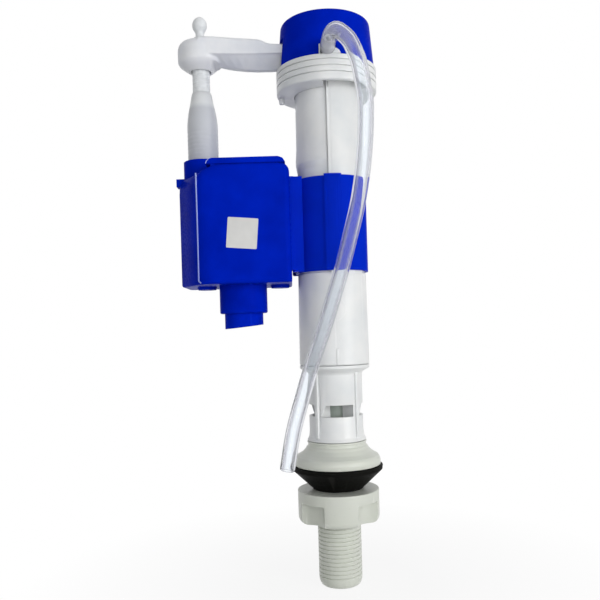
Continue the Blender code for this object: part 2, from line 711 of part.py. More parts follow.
def make_head_body():
    """Grooved ring, dished underside, deck with the main seat, and the ears of the lever pin."""
    socket = RISER_TOP_RADIUS + SEAT_GAP
    dish_z = SOCKET_TOP_Z - HEAD_SOCKET
    boss_bore = DROP_RADIUS + SEAT_GAP
    chamber = DIAPHRAGM_RADIUS + SEAT_GAP
    recess = COVER_RADIUS + SEAT_GAP
    profile = [(HEAD_RADIUS, HEAD_TOP_Z)]
    for index in range(GROOVE_COUNT):
        middle = HEAD_TOP_Z - GROOVE_TOP - index * GROOVE_PITCH
        profile += [(HEAD_RADIUS, middle + GROOVE_WIDTH / 2.0), (HEAD_RADIUS - GROOVE_DEPTH, middle),
                    (HEAD_RADIUS, middle - GROOVE_WIDTH / 2.0)]
    profile += [(HEAD_RADIUS, HEAD_Z + WIDE_EDGE), (HEAD_RADIUS - FINE_EDGE, HEAD_Z + FINE_EDGE),
                (HEAD_RADIUS - WIDE_EDGE, HEAD_Z), (HEAD_RADIUS - HEAD_SKIRT, HEAD_Z + FINE_EDGE),
                (RAIL_REACH + RISER_CLIP_RADIUS + SEAT_GAP, dish_z), (socket, dish_z), (socket, SOCKET_TOP_Z),
                (boss_bore + BOSS_WALL, SOCKET_TOP_Z), (boss_bore + BOSS_WALL, SOCKET_TOP_Z - BOSS_DROP),
                (boss_bore, SOCKET_TOP_Z - BOSS_DROP), (boss_bore, SOCKET_TOP_Z), (SEAT_BORE, SOCKET_TOP_Z),
                (SEAT_BORE, DECK_Z + SEAT_LIP), (SEAT_BORE + SEAT_WALL, DECK_Z + SEAT_LIP),
                (SEAT_BORE + SEAT_WALL, DECK_Z), (chamber, DECK_Z), (chamber, COVER_Z - SEAT_GAP),
                (recess, COVER_Z - SEAT_GAP), (recess, HEAD_TOP_Z)]
    head = turned("head_body", profile, model)
    hole_circle = (boss_bore + BOSS_WALL + RISER_TOP_BORE) / 2.0
    for index in range(FLOW_HOLES):
        angle = (index + 0.5) * 2.0 * math.pi / FLOW_HOLES
        centre = (hole_circle * math.cos(angle), hole_circle * math.sin(angle))
        cut(head, bore_cutter("flow_hole_%d" % index, FLOW_HOLE, SOCKET_TOP_Z - EDGE, DECK_Z + EDGE,
                              centre, SMALL_STEPS))
    for side in (-1.0, 1.0):
        near = side * (HUB_HALF + RUN_GAP)
        far = side * PIN_HALF
        outline = [(PIVOT_X - EAR_RADIUS, HEAD_TOP_Z - ROOT), (PIVOT_X + EAR_RADIUS, HEAD_TOP_Z - ROOT)]
        outline += arc((PIVOT_X, PIVOT_Z), (EAR_RADIUS, EAR_RADIUS), 0.0, math.pi, 8)
        ear = plate("head_ear", outline, min(near, far), max(near, far), cutters, upright=True)
        join(head, ear)
    cut(head, cylinder("ear_holes", PIN_RADIUS + RUN_GAP, (PIVOT_X, -PIN_HALF - OVERSHOOT, PIVOT_Z),
                       (PIVOT_X, PIN_HALF + OVERSHOOT, PIVOT_Z), cutters))
    cut(head, cylinder("nipple_cradle", NIPPLE_COLLAR + SEAT_GAP, (0.0, NIPPLE_ROOT_Y + SEAT_GAP, NIPPLE_Z),
                       (0.0, -HEAD_RADIUS - OVERSHOOT, NIPPLE_Z), cutters))
    return head


def make_diaphragm():
    """Rubber disc, stored lifted off the seat as when the valve is open."""
    low = DECK_Z + SEAT_LIP + SEAT_GAP + DIAPHRAGM_TRAVEL
    top = low + DIAPHRAGM_THICK
    profile = [(0.0, top), (DIAPHRAGM_RADIUS - FINE_EDGE, top), (DIAPHRAGM_RADIUS, top - FINE_EDGE),
               (DIAPHRAGM_RADIUS, low + FINE_EDGE), (DIAPHRAGM_RADIUS - FINE_EDGE, low), (0.0, low)]
    return turned("diaphragm", profile, model, closed=False)


def make_valve_cover():
    """Cover that closes the diaphragm's chamber, with the pilot nozzle in the middle."""
    inner = DIAPHRAGM_RADIUS + SEAT_GAP
    roof = HEAD_TOP_Z - COVER_TOP
    tip = HEAD_TOP_Z + NOZZLE_RISE
    profile = [(NOZZLE_RADIUS - FINE_EDGE, tip), (NOZZLE_RADIUS, tip - EDGE), (NOZZLE_RADIUS, HEAD_TOP_Z),
               (COVER_RADIUS, HEAD_TOP_Z), (COVER_RADIUS, COVER_Z), (inner, COVER_Z), (inner, roof),
               (NOZZLE_BORE, roof), (NOZZLE_BORE, tip)]
    return turned("valve_cover", profile, model)


def make_cap():
    """Tapered cup with a lever slot and a notch for the nipple, both open at the rim."""
    top = CAP_Z + CAP_HEIGHT
    roof = top - CAP_WALL
    fillet = arc((CAP_TOP_RADIUS - CAP_FILLET, top - CAP_FILLET), (CAP_FILLET, CAP_FILLET),
                 math.pi / 2.0, 0.0, 4)
    profile = [(0.0, top + CAP_DOME)]
    profile += fillet
    profile += [(CAP_RADIUS, CAP_Z), (CAP_RADIUS - CAP_WALL, CAP_Z),
                (CAP_TOP_RADIUS - CAP_WALL, roof - CAP_FILLET * 0.7),
                (CAP_TOP_RADIUS - CAP_FILLET, roof), (0.0, roof)]
    cap = turned("cap", profile, model, closed=False, steps=CAP_STEPS)
    half = CAP_SLOT / 2.0
    top_z = CAP_Z + CAP_SLOT_RISE
    below = CAP_Z - OVERSHOOT
    outside, inside = -CAP_RADIUS - OVERSHOOT, -CAP_RADIUS / 2.0
    slot_outline = rounded([(-half, below, 0.0), (half, below, 0.0),
                            (half, top_z, CAP_SLOT_CORNER), (-half, top_z, CAP_SLOT_CORNER)])
    slot = plate("cap_slot", slot_outline, outside, inside, cutters, upright=True)
    slot.rotation_euler.z = -math.pi / 2.0
    cut(cap, slot)
    notch_half = NIPPLE_COLLAR + 2.0 * SEAT_GAP
    outline = [(-notch_half, below), (notch_half, below)]
    outline += arc((0.0, NIPPLE_Z), (notch_half, notch_half), 0.0, math.pi, 10)
    cut(cap, plate("cap_notch", outline, outside, inside, cutters, upright=True))
    return cap


def make_refill_nipple():
    """Horizontal outlet that lies in the head's cradle, with a barbed tip for the hose."""
    nipple = cylinder("refill_nipple", NIPPLE_COLLAR, (0.0, NIPPLE_ROOT_Y, NIPPLE_Z),
                      (0.0, NIPPLE_FACE_Y, NIPPLE_Z), model)
    join(nipple, cylinder("nipple_tip", NIPPLE_RADIUS, (0.0, NIPPLE_FACE_Y + ROOT, NIPPLE_Z),
                          (0.0, NIPPLE_TIP_Y, NIPPLE_Z), cutters))
    cut(nipple, cylinder("nipple_bore", NIPPLE_BORE, (0.0, NIPPLE_ROOT_Y + OVERSHOOT, NIPPLE_Z),
                         (0.0, NIPPLE_TIP_Y - OVERSHOOT, NIPPLE_Z), cutters))
    return nipple


def smooth_route(points, step):
    """Points at about equal steps on a smooth curve through the route's own points."""
    route = [Vector(point) for point in points]
    dense = []
    last = len(route) - 1
    for index in range(last):
        before = route[max(index - 1, 0)]
        start, end = route[index], route[index + 1]
        after = route[min(index + 2, last)]
        for part in range(12):
            t = part / 12.0
            dense.append(0.5 * (2.0 * start + (end - before) * t
                                + (2.0 * before - 5.0 * start + 4.0 * end - after) * t * t
                                + (3.0 * start - before - 3.0 * end + after) * t ** 3))
    dense.append(route[-1])
    total = sum((b - a).length for a, b in zip(dense, dense[1:]))
    count = max(2, round(total / step))
    result = [dense[0]]
    walked = 0.0
    for a, b in zip(dense, dense[1:]):
        length = (b - a).length
        while len(result) < count and walked + length >= len(result) * total / count:
            share = (len(result) * total / count - walked) / length
            result.append(a.lerp(b, share))
        walked += length
    result.append(dense[-1])
    return result


def make_refill_hose():
    """Hanging hose from the nipple's tip, as a plain round tube."""
    curve = bpy.data.curves.new("refill_hose", "CURVE")
    curve.dimensions = "3D"
    curve.bevel_depth = HOSE_RADIUS
    curve.bevel_resolution = 2
    curve.use_fill_caps = True
    points = smooth_route(HOSE_ROUTE, HOSE_STEP)
    spline = curve.splines.new("POLY")
    spline.points.add(len(points) - 1)
    for point, place in zip(spline.points, points):
        point.co = (*place, 1.0)
    hose = bpy.data.objects.new("refill_hose", curve)
    model.objects.link(hose)
    return hose


def pad_place(along):
    """A point on the pilot pad's axis at rest, which the swing brings upright over the nozzle."""
    closed_z = HEAD_TOP_Z + NOZZLE_RISE + SEAT_GAP - PIVOT_Z + along
    x = -PIVOT_X
    cos, sin = math.cos(LEVER_SWING), math.sin(LEVER_SWING)
    return (PIVOT_X + x * cos - closed_z * sin, 0.0, PIVOT_Z + x * sin + closed_z * cos)


def make_lever_arm():
    """Lever: hollow boss over the screw, flanged beam with a web, hub on the pin, and pad cup."""
    low = LEVER_TOP_Z - LEVER_BOSS_HEIGHT
    inside = LEVER_BOSS_RADIUS - LEVER_BOSS_WALL
    profile = [(0.0, LEVER_TOP_Z)]
    profile += arc((LEVER_BOSS_RADIUS - LEVER_BOSS_ROUND, LEVER_TOP_Z - LEVER_BOSS_ROUND),
                   (LEVER_BOSS_ROUND, LEVER_BOSS_ROUND), math.pi / 2.0, 0.0, 4)
    profile += [(LEVER_BOSS_RADIUS, low + FINE_EDGE), (LEVER_BOSS_RADIUS - FINE_EDGE, low), (inside, low),
                (inside, PLATE_Z), (0.0, PLATE_Z)]
    lever = turned("lever_arm", profile, model, closed=False, centre=(ROD_X, 0.0))
    start = ROD_X + inside + FINE_EDGE
    beam_low = LEVER_TOP_Z - BEAM_DEPTH
    step_x = -HEAD_RADIUS - BEAM_STEP_OUT
    inner_x = PIVOT_X - HUB_RADIUS
    step_z = LEVER_TOP_Z - BEAM_STEP
    beam_top = LEVER_TOP_Z - FINE_EDGE
    over_plate = (start - BEAM_STEP_RUN, PLATE_Z + EDGE)
    beam = [(start, beam_low), (inner_x, beam_low), (inner_x, step_z), (step_x, step_z),
            (step_x - BEAM_STEP_RUN, beam_top), (over_plate[0], beam_top), over_plate,
            (start, over_plate[1])]
    join(lever, plate("lever_beam", beam, -BEAM_HALF, BEAM_HALF, cutters, upright=True))
    web_low = beam_low - WEB_DEPTH
    web_end = -HEAD_RADIUS - EDGE
    web = [(start, beam_low + ROOT), (start, low + EDGE), (start + OVERSHOOT, low - WEB_START_DROP),
           (start + WEB_BEND[0], web_low + WEB_START_DROP), (start + WEB_BEND[1], web_low + FINE_EDGE),
           (web_end - WEB_END_ROUND, web_low), (web_end, web_low + EDGE),
           (web_end, beam_low - BEAM_STEP), (inner_x, beam_low - WEB_START_DROP),
           (PIVOT_X + FINE_EDGE, PIVOT_Z - HUB_RADIUS + EDGE), (PIVOT_X + FINE_EDGE, beam_low + ROOT)]
    join(lever, plate("lever_web", web, -WEB_HALF, WEB_HALF, cutters, upright=True))
    join(lever, cylinder("lever_hub", HUB_RADIUS, (PIVOT_X, -HUB_HALF, PIVOT_Z), (PIVOT_X, HUB_HALF, PIVOT_Z),
                         cutters, HUB_STEPS))
    neck = [(inner_x - ROOT, beam_low + FINE_EDGE), (PIVOT_X, beam_low + FINE_EDGE),
            (PIVOT_X, step_z - EDGE), (inner_x - ROOT, step_z - FINE_EDGE)]
    join(lever, plate("lever_neck", neck, -HUB_HALF + FINE_EDGE, HUB_HALF - FINE_EDGE, cutters, upright=True))
    cup_low, cup_high = pad_place(PAD_PROUD), pad_place(PAD_PROUD + PAD_CUP_HEIGHT)
    arm = [(PIVOT_X - ROOT, PIVOT_Z - ARM_ROOT[0]), (cup_low[0], cup_low[2] + EDGE),
           (cup_high[0], cup_high[2] - FINE_EDGE), (PIVOT_X - ROOT, PIVOT_Z + ARM_ROOT[1])]
    join(lever, plate("lever_inner_arm", arm, -ARM_HALF, ARM_HALF, cutters, upright=True))
    join(lever, cylinder("pad_cup", PAD_CUP_RADIUS, cup_low, cup_high, cutters, HUB_STEPS))
    cut(lever, cylinder("pad_pocket", PAD_RADIUS + SEAT_GAP, pad_place(0.0),
                        pad_place(PAD_HEIGHT + SEAT_GAP), cutters))
    cut(lever, cylinder("pin_hole", PIN_RADIUS + RUN_GAP, (PIVOT_X, -HUB_HALF - OVERSHOOT, PIVOT_Z),
                        (PIVOT_X, HUB_HALF + OVERSHOOT, PIVOT_Z), cutters))
    half_long, half_wide = LEVER_SLOT_LENGTH / 2.0, LEVER_SLOT_WIDTH / 2.0
    left, right = ROD_X - half_long, ROD_X + half_long
    slot = rounded([(left, -half_wide, LEVER_SLOT_ROUND), (right, -half_wide, LEVER_SLOT_ROUND),
                    (right, half_wide, LEVER_SLOT_ROUND), (left, half_wide, LEVER_SLOT_ROUND)])
    cut(lever, plate("screw_slot", slot, PLATE_Z - OVERSHOOT, LEVER_TOP_Z + OVERSHOOT, cutters))
    return lever


def make_lever_pin():
    return cylinder("lever_pin", PIN_RADIUS, (PIVOT_X, -PIN_HALF, PIVOT_Z), (PIVOT_X, PIN_HALF, PIVOT_Z),
                    model)


def make_pilot_seal():
    return cylinder("pilot_seal", PAD_RADIUS, pad_place(0.0), pad_place(PAD_HEIGHT), model)


def make_adjusting_screw():
    """Screw with a knob; the lever's slotted plate lies between its collar and its shoulder."""
    knob_middle = LEVER_TOP_Z + KNOB_RISE - KNOB_HEIGHT / 2.0
    collar_low = LEVER_TOP_Z + SCREW_PLAY
    shoulder = PLATE_Z - SCREW_PLAY
    foot = STEM_TOP_Z - SCREW_ENTRY
    knob = arc((0.0, knob_middle), (KNOB_RADIUS, KNOB_HEIGHT / 2.0), math.pi / 2.0, -0.30 * math.pi, 6)
    knob[0] = (0.0, knob_middle + KNOB_HEIGHT / 2.0)
    profile = knob
    collar_top = collar_low + SCREW_COLLAR_HEIGHT
    profile += [(SCREW_NECK, collar_top), (SCREW_COLLAR, collar_top), (SCREW_COLLAR, collar_low),
                (SCREW_NECK, collar_low), (SCREW_NECK, shoulder), (SCREW_RADIUS, shoulder - EDGE),
                (SCREW_RADIUS, foot + EDGE), (SCREW_RADIUS - EDGE, foot), (0.0, foot)]
    return turned("adjusting_screw", profile, model, closed=False, steps=SMALL_STEPS, centre=(ROD_X, 0.0))


def make_float_stem():
    """Flared stem with a blind bore for the screw and a plug that fixes it in the float."""
    bore = SCREW_RADIUS + RUN_GAP
    flare = STEM_TOP_Z - STEM_FLARE
    reach = STEM_RADIUS - STEM_TOP_RADIUS
    plug_low = STEM_Z - STEM_PLUG
    profile = [(0.0, plug_low + STEM_PLUG_FLOOR), (bore, plug_low + STEM_PLUG_FLOOR), (bore, STEM_TOP_Z),
               (STEM_TOP_RADIUS, STEM_TOP_Z)]
    profile += [(STEM_TOP_RADIUS + reach * (1.0 - math.cos(math.pi * share)) / 2.0,
                 STEM_TOP_Z - STEM_FLARE * share) for share in (0.25, 0.5, 0.75)]
    profile += [(STEM_RADIUS, flare), (STEM_RADIUS, STEM_Z), (STEM_PLUG_RADIUS, STEM_Z),
                (STEM_PLUG_RADIUS, plug_low), (0.0, plug_low)]
    return turned("float_stem", profile, model, closed=False, steps=STEM_STEPS, centre=(ROD_X, 0.0))


def chamber_corners():
    """Plan of the chamber, counter-clockwise from its left front corner."""
    front_left = CHAMBER_LEFT + CHAMBER_CHAMFER_X
    return [(front_left, CHAMBER_FRONT, CHAMBER_CORNER), (CHAMBER_RIGHT, CHAMBER_FRONT, CHAMBER_CORNER),
            (CHAMBER_RIGHT, CHAMBER_BACK, CHAMBER_CORNER), (CHAMBER_LEFT, CHAMBER_BACK, 2.0 * CHAMBER_CORNER),
            (CHAMBER_LEFT, CHAMBER_FRONT + CHAMBER_CHAMFER_Y, CHAMBER_CORNER)]


def make_float_chamber():
    """Open-topped shell with rounded shoulders, a drain, the spout and two foot pads."""
    chamber = plate("float_chamber", rounded(chamber_corners()), CHAMBER_FLOOR_Z, CHAMBER_TOP_Z, model)
    face = rounded([(CHAMBER_LEFT, CHAMBER_FLOOR_Z, LID_CORNER),
                    (CHAMBER_RIGHT, CHAMBER_FLOOR_Z, LID_CORNER),
                    (CHAMBER_RIGHT, CHAMBER_TOP_Z, CHAMBER_RIGHT_ROUND),
                    (CHAMBER_LEFT, CHAMBER_TOP_Z, CHAMBER_LEFT_ROUND)], 6)
    combine(chamber, plate("chamber_face", face, CHAMBER_FRONT - OVERSHOOT, CHAMBER_BACK + OVERSHOOT, cutters,
                           upright=True), "INTERSECT")
    spout_low = CHAMBER_FLOOR_Z - SPOUT_DROP
    spout_bore = SPOUT_RADIUS - SPOUT_WALL
    spout_profile = [(SPOUT_RADIUS, CHAMBER_FLOOR_Z + ROOT), (SPOUT_RADIUS, spout_low + WIDE_EDGE),
                     (SPOUT_RADIUS - WIDE_EDGE, spout_low), (spout_bore, spout_low),
                     (spout_bore, CHAMBER_FLOOR_Z + ROOT)]
    join(chamber, turned("chamber_spout", spout_profile, cutters, steps=SPOUT_STEPS, centre=(SPOUT_X, SPOUT_Y)))
    for index, place in enumerate((ROD_X, CHAMBER_RIGHT - FOOT_PAD_RADIUS - WIDE_EDGE)):
        join(chamber, cylinder("foot_pad_%d" % index, FOOT_PAD_RADIUS - EDGE,
                               (place, 0.0, CHAMBER_FLOOR_Z - FOOT_PAD_DROP),
                               (place, 0.0, CHAMBER_FLOOR_Z + ROOT), cutters, end_radius=FOOT_PAD_RADIUS))
    inner = rounded(inset(chamber_corners(), CHAMBER_WALL))
    inner_floor = CHAMBER_FLOOR_Z + CHAMBER_BASE
    cut(chamber, plate("chamber_hollow", inner, inner_floor, CHAMBER_TOP_Z + OVERSHOOT, cutters))
    cut(chamber, bore_cutter("chamber_drain", DRAIN_RADIUS, CHAMBER_FLOOR_Z - OVERSHOOT,
                             inner_floor + OVERSHOOT, (SPOUT_X, SPOUT_Y)))
    return chamber


def make_chamber_lid():
    """Strip on the front and back walls, with the guide collar of the stem and a latch tab."""
    low = CHAMBER_TOP_Z + SEAT_GAP
    top = low + LID_THICK
    front, back = CHAMBER_FRONT + LID_INSET, CHAMBER_BACK - LID_INSET
    outline = rounded([(LID_LEFT, front, LID_CORNER), (LID_RIGHT, front, LID_CORNER),
                       (LID_RIGHT, back, LID_CORNER), (LID_LEFT, back, LID_CORNER)], 3)
    lid = plate("chamber_lid", outline, low, top, model)
    front, back = CHAMBER_FRONT + CHAMBER_WALL + SEAT_GAP, CHAMBER_BACK - CHAMBER_WALL - SEAT_GAP
    left, right = LID_LEFT + LID_CORNER, CHAMBER_RIGHT - CHAMBER_RIGHT_ROUND
    plug = rounded([(left, front, LID_CORNER), (right, front, LID_CORNER),
                    (right, back, LID_CORNER), (left, back, LID_CORNER)], 3)
    join(lid, plate("lid_plug", plug, low - LID_PLUG, low + ROOT, cutters))
    collar_low = CHAMBER_TOP_Z - COLLAR_DROP
    collar_top = CHAMBER_TOP_Z + COLLAR_RISE
    join(lid, cylinder("lid_collar", COLLAR_RADIUS, (ROD_X, 0.0, collar_low), (ROD_X, 0.0, collar_top),
                       cutters, COLLAR_STEPS))
    tab_low = collar_low + TAB_RISE
    join(lid, block("lid_tab", (ROD_X - COLLAR_RADIUS - TAB_REACH, -TAB_WIDTH / 2.0, tab_low),
                    (ROD_X - COLLAR_RADIUS + ROOT, TAB_WIDTH / 2.0, tab_low + TAB_HEIGHT), cutters))
    cut(lid, bore_cutter("collar_bore", STEM_RADIUS + COLLAR_PLAY, collar_low - OVERSHOOT,
                         collar_top + OVERSHOOT, (ROD_X, 0.0), COLLAR_STEPS))
    return lid


def make_float():
    """Inverted cup that fills the chamber's plan, with a sleeve that holds the stem's plug."""
    gap = CHAMBER_WALL + FLOAT_GAP
    float_cup = plate("float", rounded(inset(chamber_corners(), gap)), FLOAT_Z, FLOAT_TOP_Z, model)
    hollow = rounded(inset(chamber_corners(), gap + FLOAT_WALL))
    cut(float_cup, plate("float_hollow", hollow, FLOAT_Z - OVERSHOOT, FLOAT_TOP_Z - FLOAT_TOP, cutters))
    bore = STEM_PLUG_RADIUS + SEAT_GAP
    plug_low = STEM_Z - STEM_PLUG
    join(float_cup, cylinder("float_sleeve", bore + FLOAT_SLEEVE_WALL, (ROD_X, 0.0, plug_low),
                             (ROD_X, 0.0, FLOAT_TOP_Z - FLOAT_TOP + FINE_EDGE), cutters))
    cut(float_cup, bore_cutter("float_bore", bore, plug_low - OVERSHOOT, FLOAT_TOP_Z + OVERSHOOT,
                               (ROD_X, 0.0)))
    return float_cup


def make_spout_insert():
    """Valve housing in the spout with an oblique lower end and a ledge for the loose disc."""
    outer = SPOUT_RADIUS - SPOUT_WALL - SEAT_GAP
    inner = outer - INSERT_WALL
    low = CHAMBER_FLOOR_Z - SPOUT_DROP - INSERT_DROP
    top = CHAMBER_FLOOR_Z - SEAT_GAP
    profile = [(outer, top), (outer, low), (inner, low), (inner, LEDGE_Z - INSERT_LEDGE),
               (INSERT_LEDGE_BORE, LEDGE_Z - INSERT_LEDGE), (INSERT_LEDGE_BORE, LEDGE_Z), (inner, LEDGE_Z),
               (inner, top)]
    insert = turned("spout_insert", profile, model, steps=SPOUT_STEPS, centre=(SPOUT_X, SPOUT_Y))
    wide = outer + OVERSHOOT
    below = low - 2.0 * OVERSHOOT
    slant = [(SPOUT_X - wide, below), (SPOUT_X + wide, below),
             (SPOUT_X + wide, low + INSERT_CUT * (outer + wide) / (2.0 * outer)),
             (SPOUT_X - wide, low - INSERT_CUT * (wide - outer) / (2.0 * outer))]
    cut(insert, plate("insert_slant", slant, SPOUT_Y - wide, SPOUT_Y + wide, cutters, upright=True))
    return insert


def make_check_disc():
    """Loose disc on the insert's ledge, which rises and closes the drain from below."""
    low = LEDGE_Z + SEAT_GAP
    top = low + DISC_THICK
    profile = [(0.0, top), (DISC_RADIUS - FINE_EDGE, top), (DISC_RADIUS, top - FINE_EDGE),
               (DISC_RADIUS, low), (DISC_STEM, low), (DISC_STEM, low - DISC_STEM_DROP),
               (0.0, low - DISC_STEM_DROP)]
    return turned("check_disc", profile, model, closed=False, steps=SPOUT_STEPS, centre=(SPOUT_X, SPOUT_Y))


def make_clip_bracket():
    """Spring band round the riser with a raised pad over the rail and two arms to the chamber."""
    top = CLIP_Z + CLIP_HEIGHT
    bore = RISER_CLIP_RADIUS + SEAT_GAP
    mouth = CLIP_MOUTH / 2.0
    inner = bore - FINE_EDGE
    band = plate("clip_bracket", sector(inner, CLIP_BAND, -math.pi + mouth, math.pi - mouth, 36),
                 CLIP_Z, top, model)
    reach = CLIP_BAND + RAIL_REACH
    pad = sector(bore + FINE_EDGE, reach, RAIL_START - CLIP_PAD_MARGIN, RAIL_END + CLIP_PAD_MARGIN, 12)
    join(band, plate("clip_pad", pad, CLIP_Z, top, cutters))
    for side in (-1.0, 1.0):
        name = "front" if side < 0.0 else "back"
        near, far = side * (CLIP_ARM_Y - CLIP_ARM_THICK), side * CLIP_ARM_Y
        toe_x = CHAMBER_RIGHT + SEAT_GAP
        band_x = -math.sqrt(CLIP_BAND ** 2 - (CLIP_ARM_Y - CLIP_ARM_BITE) ** 2)
        join(band, block("clip_arm_" + name, (toe_x, min(near, far), CLIP_Z), (band_x, max(near, far), top),
                         cutters))
        toe_near, toe_far = side * (CLIP_ARM_Y - CLIP_TOE / 2.0), side * (CLIP_ARM_Y + CLIP_TOE / 2.0)
        join(band, block("clip_toe_" + name, (toe_x, min(toe_near, toe_far), CLIP_Z + EDGE),
                         (toe_x + CLIP_TOE_THICK, max(toe_near, toe_far), top - EDGE), cutters))
    tab_start = RAIL_START - CLIP_PAD_MARGIN
    tab = sector(bore + FINE_EDGE, reach, tab_start, tab_start + CLIP_TAB_WIDTH / CLIP_BAND, 4)
    join(band, plate("clip_tab", tab, top - ROOT, top + CLIP_TAB_HEIGHT, cutters))
    below, above = CLIP_Z - OVERSHOOT, top + CLIP_TAB_HEIGHT + OVERSHOOT
    cut(band, bore_cutter("clip_bore", bore, below, above, steps=ROUND_STEPS))
    rail_way = sector(bore - OVERSHOOT, RISER_CLIP_RADIUS + RAIL_REACH + SEAT_GAP,
                      RAIL_START - CLIP_RAIL_PLAY, RAIL_END + CLIP_RAIL_PLAY, 12)
    cut(band, plate("clip_rail_way", rail_way, below, above, cutters))
    return band


def add_empty(name, place, parent=None):
    empty = bpy.data.objects.new(name, None)
    empty.empty_display_size = 0.01
    bpy.context.scene.collection.objects.link(empty)
    empty.location = place
    empty.parent = parent
    return empty


def main():
    global model, cutters
    clear_scene()
    model = make_collection("toilet_fill_valve")
    cutters = make_collection("cutters")
    white = material("white_plastic", WHITE, 0.30)
    warm = material("shank_plastic", WARM_WHITE, 0.35)
    milk = material("milky_plastic", MILK_WHITE, 0.32)
    blue = material("blue_plastic", BLUE, 0.22)
    black = material("black_rubber", BLACK, 0.60)
    clear = material("clear_hose", CLEAR, 0.12)
    frame = add_empty("valve_axis", (0.0, 0.0, 0.0))
    parts = [
        (make_base_shank, warm), (make_inlet_strainer, milk), (make_foot_o_ring, black),
        (make_cone_gasket, black), (make_lock_nut, warm), (make_supply_tube, milk),
        (make_tube_o_ring, black), (make_outlet_cage, white), (make_riser_sleeve, white),
        (make_drop_tube, milk), (make_head_body, white), (make_diaphragm, black),
        (make_valve_cover, milk), (make_cap, blue), (make_refill_nipple, white),
        (make_refill_hose, clear), (make_lever_arm, milk), (make_lever_pin, white),
        (make_pilot_seal, black), (make_adjusting_screw, milk), (make_float_stem, milk),
        (make_float_chamber, blue), (make_chamber_lid, blue), (make_float, milk),
        (make_spout_insert, blue), (make_check_disc, milk), (make_clip_bracket, blue),
    ]
    for make, look in parts:
        piece = make()
        piece.data.materials.append(look)
        if piece.type == "MESH":
            smooth(piece)
        piece.parent = frame


main()
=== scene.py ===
"""Toilet fill valve: finishes, moulded details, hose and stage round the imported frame.

Numbers in the shape lists are millimetres, and MM turns them to metres. +Z is up the riser, -X goes
to the float chamber and -Y to the side that the hose hangs on.
"""
import math

import bmesh
import bpy
from bpy.props import FloatProperty, FloatVectorProperty, IntProperty, PointerProperty
from mathutils import Matrix, Vector


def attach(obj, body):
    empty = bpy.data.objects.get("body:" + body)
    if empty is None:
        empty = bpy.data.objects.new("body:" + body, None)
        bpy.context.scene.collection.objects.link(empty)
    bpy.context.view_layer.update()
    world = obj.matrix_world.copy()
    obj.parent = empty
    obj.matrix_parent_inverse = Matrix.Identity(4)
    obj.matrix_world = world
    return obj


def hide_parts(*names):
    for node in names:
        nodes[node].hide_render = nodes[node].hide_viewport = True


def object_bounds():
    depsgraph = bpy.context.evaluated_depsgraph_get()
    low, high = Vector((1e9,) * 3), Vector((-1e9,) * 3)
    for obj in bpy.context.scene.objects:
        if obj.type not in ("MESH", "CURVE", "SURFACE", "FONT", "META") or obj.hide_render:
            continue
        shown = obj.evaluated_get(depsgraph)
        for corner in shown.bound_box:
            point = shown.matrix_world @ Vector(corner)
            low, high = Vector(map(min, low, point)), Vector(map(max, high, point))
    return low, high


bl_info = {
    "name": "Toilet fill valve",
    "version": (1, 0, 0),
    "blender": (4, 5, 0),
    "location": "3D View > Sidebar > Fill valve",
    "description": "Builds the dressed pieces and the stage of a toilet fill valve",
    "category": "Add Mesh",
}

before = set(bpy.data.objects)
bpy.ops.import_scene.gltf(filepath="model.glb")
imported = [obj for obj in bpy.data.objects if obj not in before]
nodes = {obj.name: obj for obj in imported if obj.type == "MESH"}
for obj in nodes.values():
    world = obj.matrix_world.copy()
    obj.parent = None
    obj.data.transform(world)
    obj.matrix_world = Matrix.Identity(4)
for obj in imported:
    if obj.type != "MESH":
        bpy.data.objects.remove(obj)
cad_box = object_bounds()
finishes = {}

MM = 0.001

# The hose's route in metres, the same points as in the part's source
HOSE_ROUTE = [
    (0.0000, -0.0275, 0.2048), (0.0003, -0.0325, 0.2051), (0.0012, -0.0382, 0.2054),
    (0.0034, -0.0435, 0.2040), (0.0075, -0.0470, 0.1988), (0.0099, -0.0483, 0.1932),
    (0.0118, -0.0480, 0.1875), (0.0141, -0.0450, 0.1750), (0.0145, -0.0420, 0.1670),
    (0.0140, -0.0380, 0.1550), (0.0128, -0.0350, 0.1440), (0.0105, -0.0320, 0.1310),
    (0.0069, -0.0290, 0.1170), (0.0033, -0.0270, 0.1040), (-0.0011, -0.0260, 0.0905),
    (-0.0057, -0.0253, 0.0770), (-0.0115, -0.0250, 0.0610), (-0.0166, -0.0250, 0.0450),
    (-0.0208, -0.0250, 0.0305), (-0.0240, -0.0250, 0.0138),
]

# Places that several pieces share, in millimetres, as in the solids
ROD_X = -60.8
PIVOT = (-16.5, 210.0)
HEAD_TOP = 202.0
CAP_LOW = 202.3
LEVER_TOP = 217.8
PLATE = 214.8
NIPPLE = 205.1
SPOUT = (-43.0, -4.0)
CHAMBER = (-72.2, -19.1, -24.0, 20.0)
CHAMBER_Z = (99.0, 153.5)
COLLAR = 9.6
RAIL = (-6.0, 56.0)
PAD_MARGIN = 4.5
CLIP_Z = (104.3, 148.8)

# The stage: places and sizes in metres, light in watts
LAMPS = (
    ("key", (0.62, -0.62, 0.16), 0.45, 3.7),
    ("front", (0.08, -0.80, 0.26), 0.30, 1.0),
    ("low", (-0.10, -0.40, 0.00), 0.07, 0.06),
    ("top", (0.15, 0.10, 0.80), 0.60, 0.2),
)
LAMP_AIM = Vector((-0.02, 0.0, 0.09))
WORLD_LIGHT = 0.385
CAMERA_PLACE = (-0.01635, -0.341, 0.077)
CAMERA_LEAN = math.radians(-1.72)
CAMERA_SENSOR = 36.0
CAMERA_LENS = 42.0
CAMERA_SHIFT = 0.05
FLOOR_HALF = 3.0
FLOOR_GAP = 0.0002

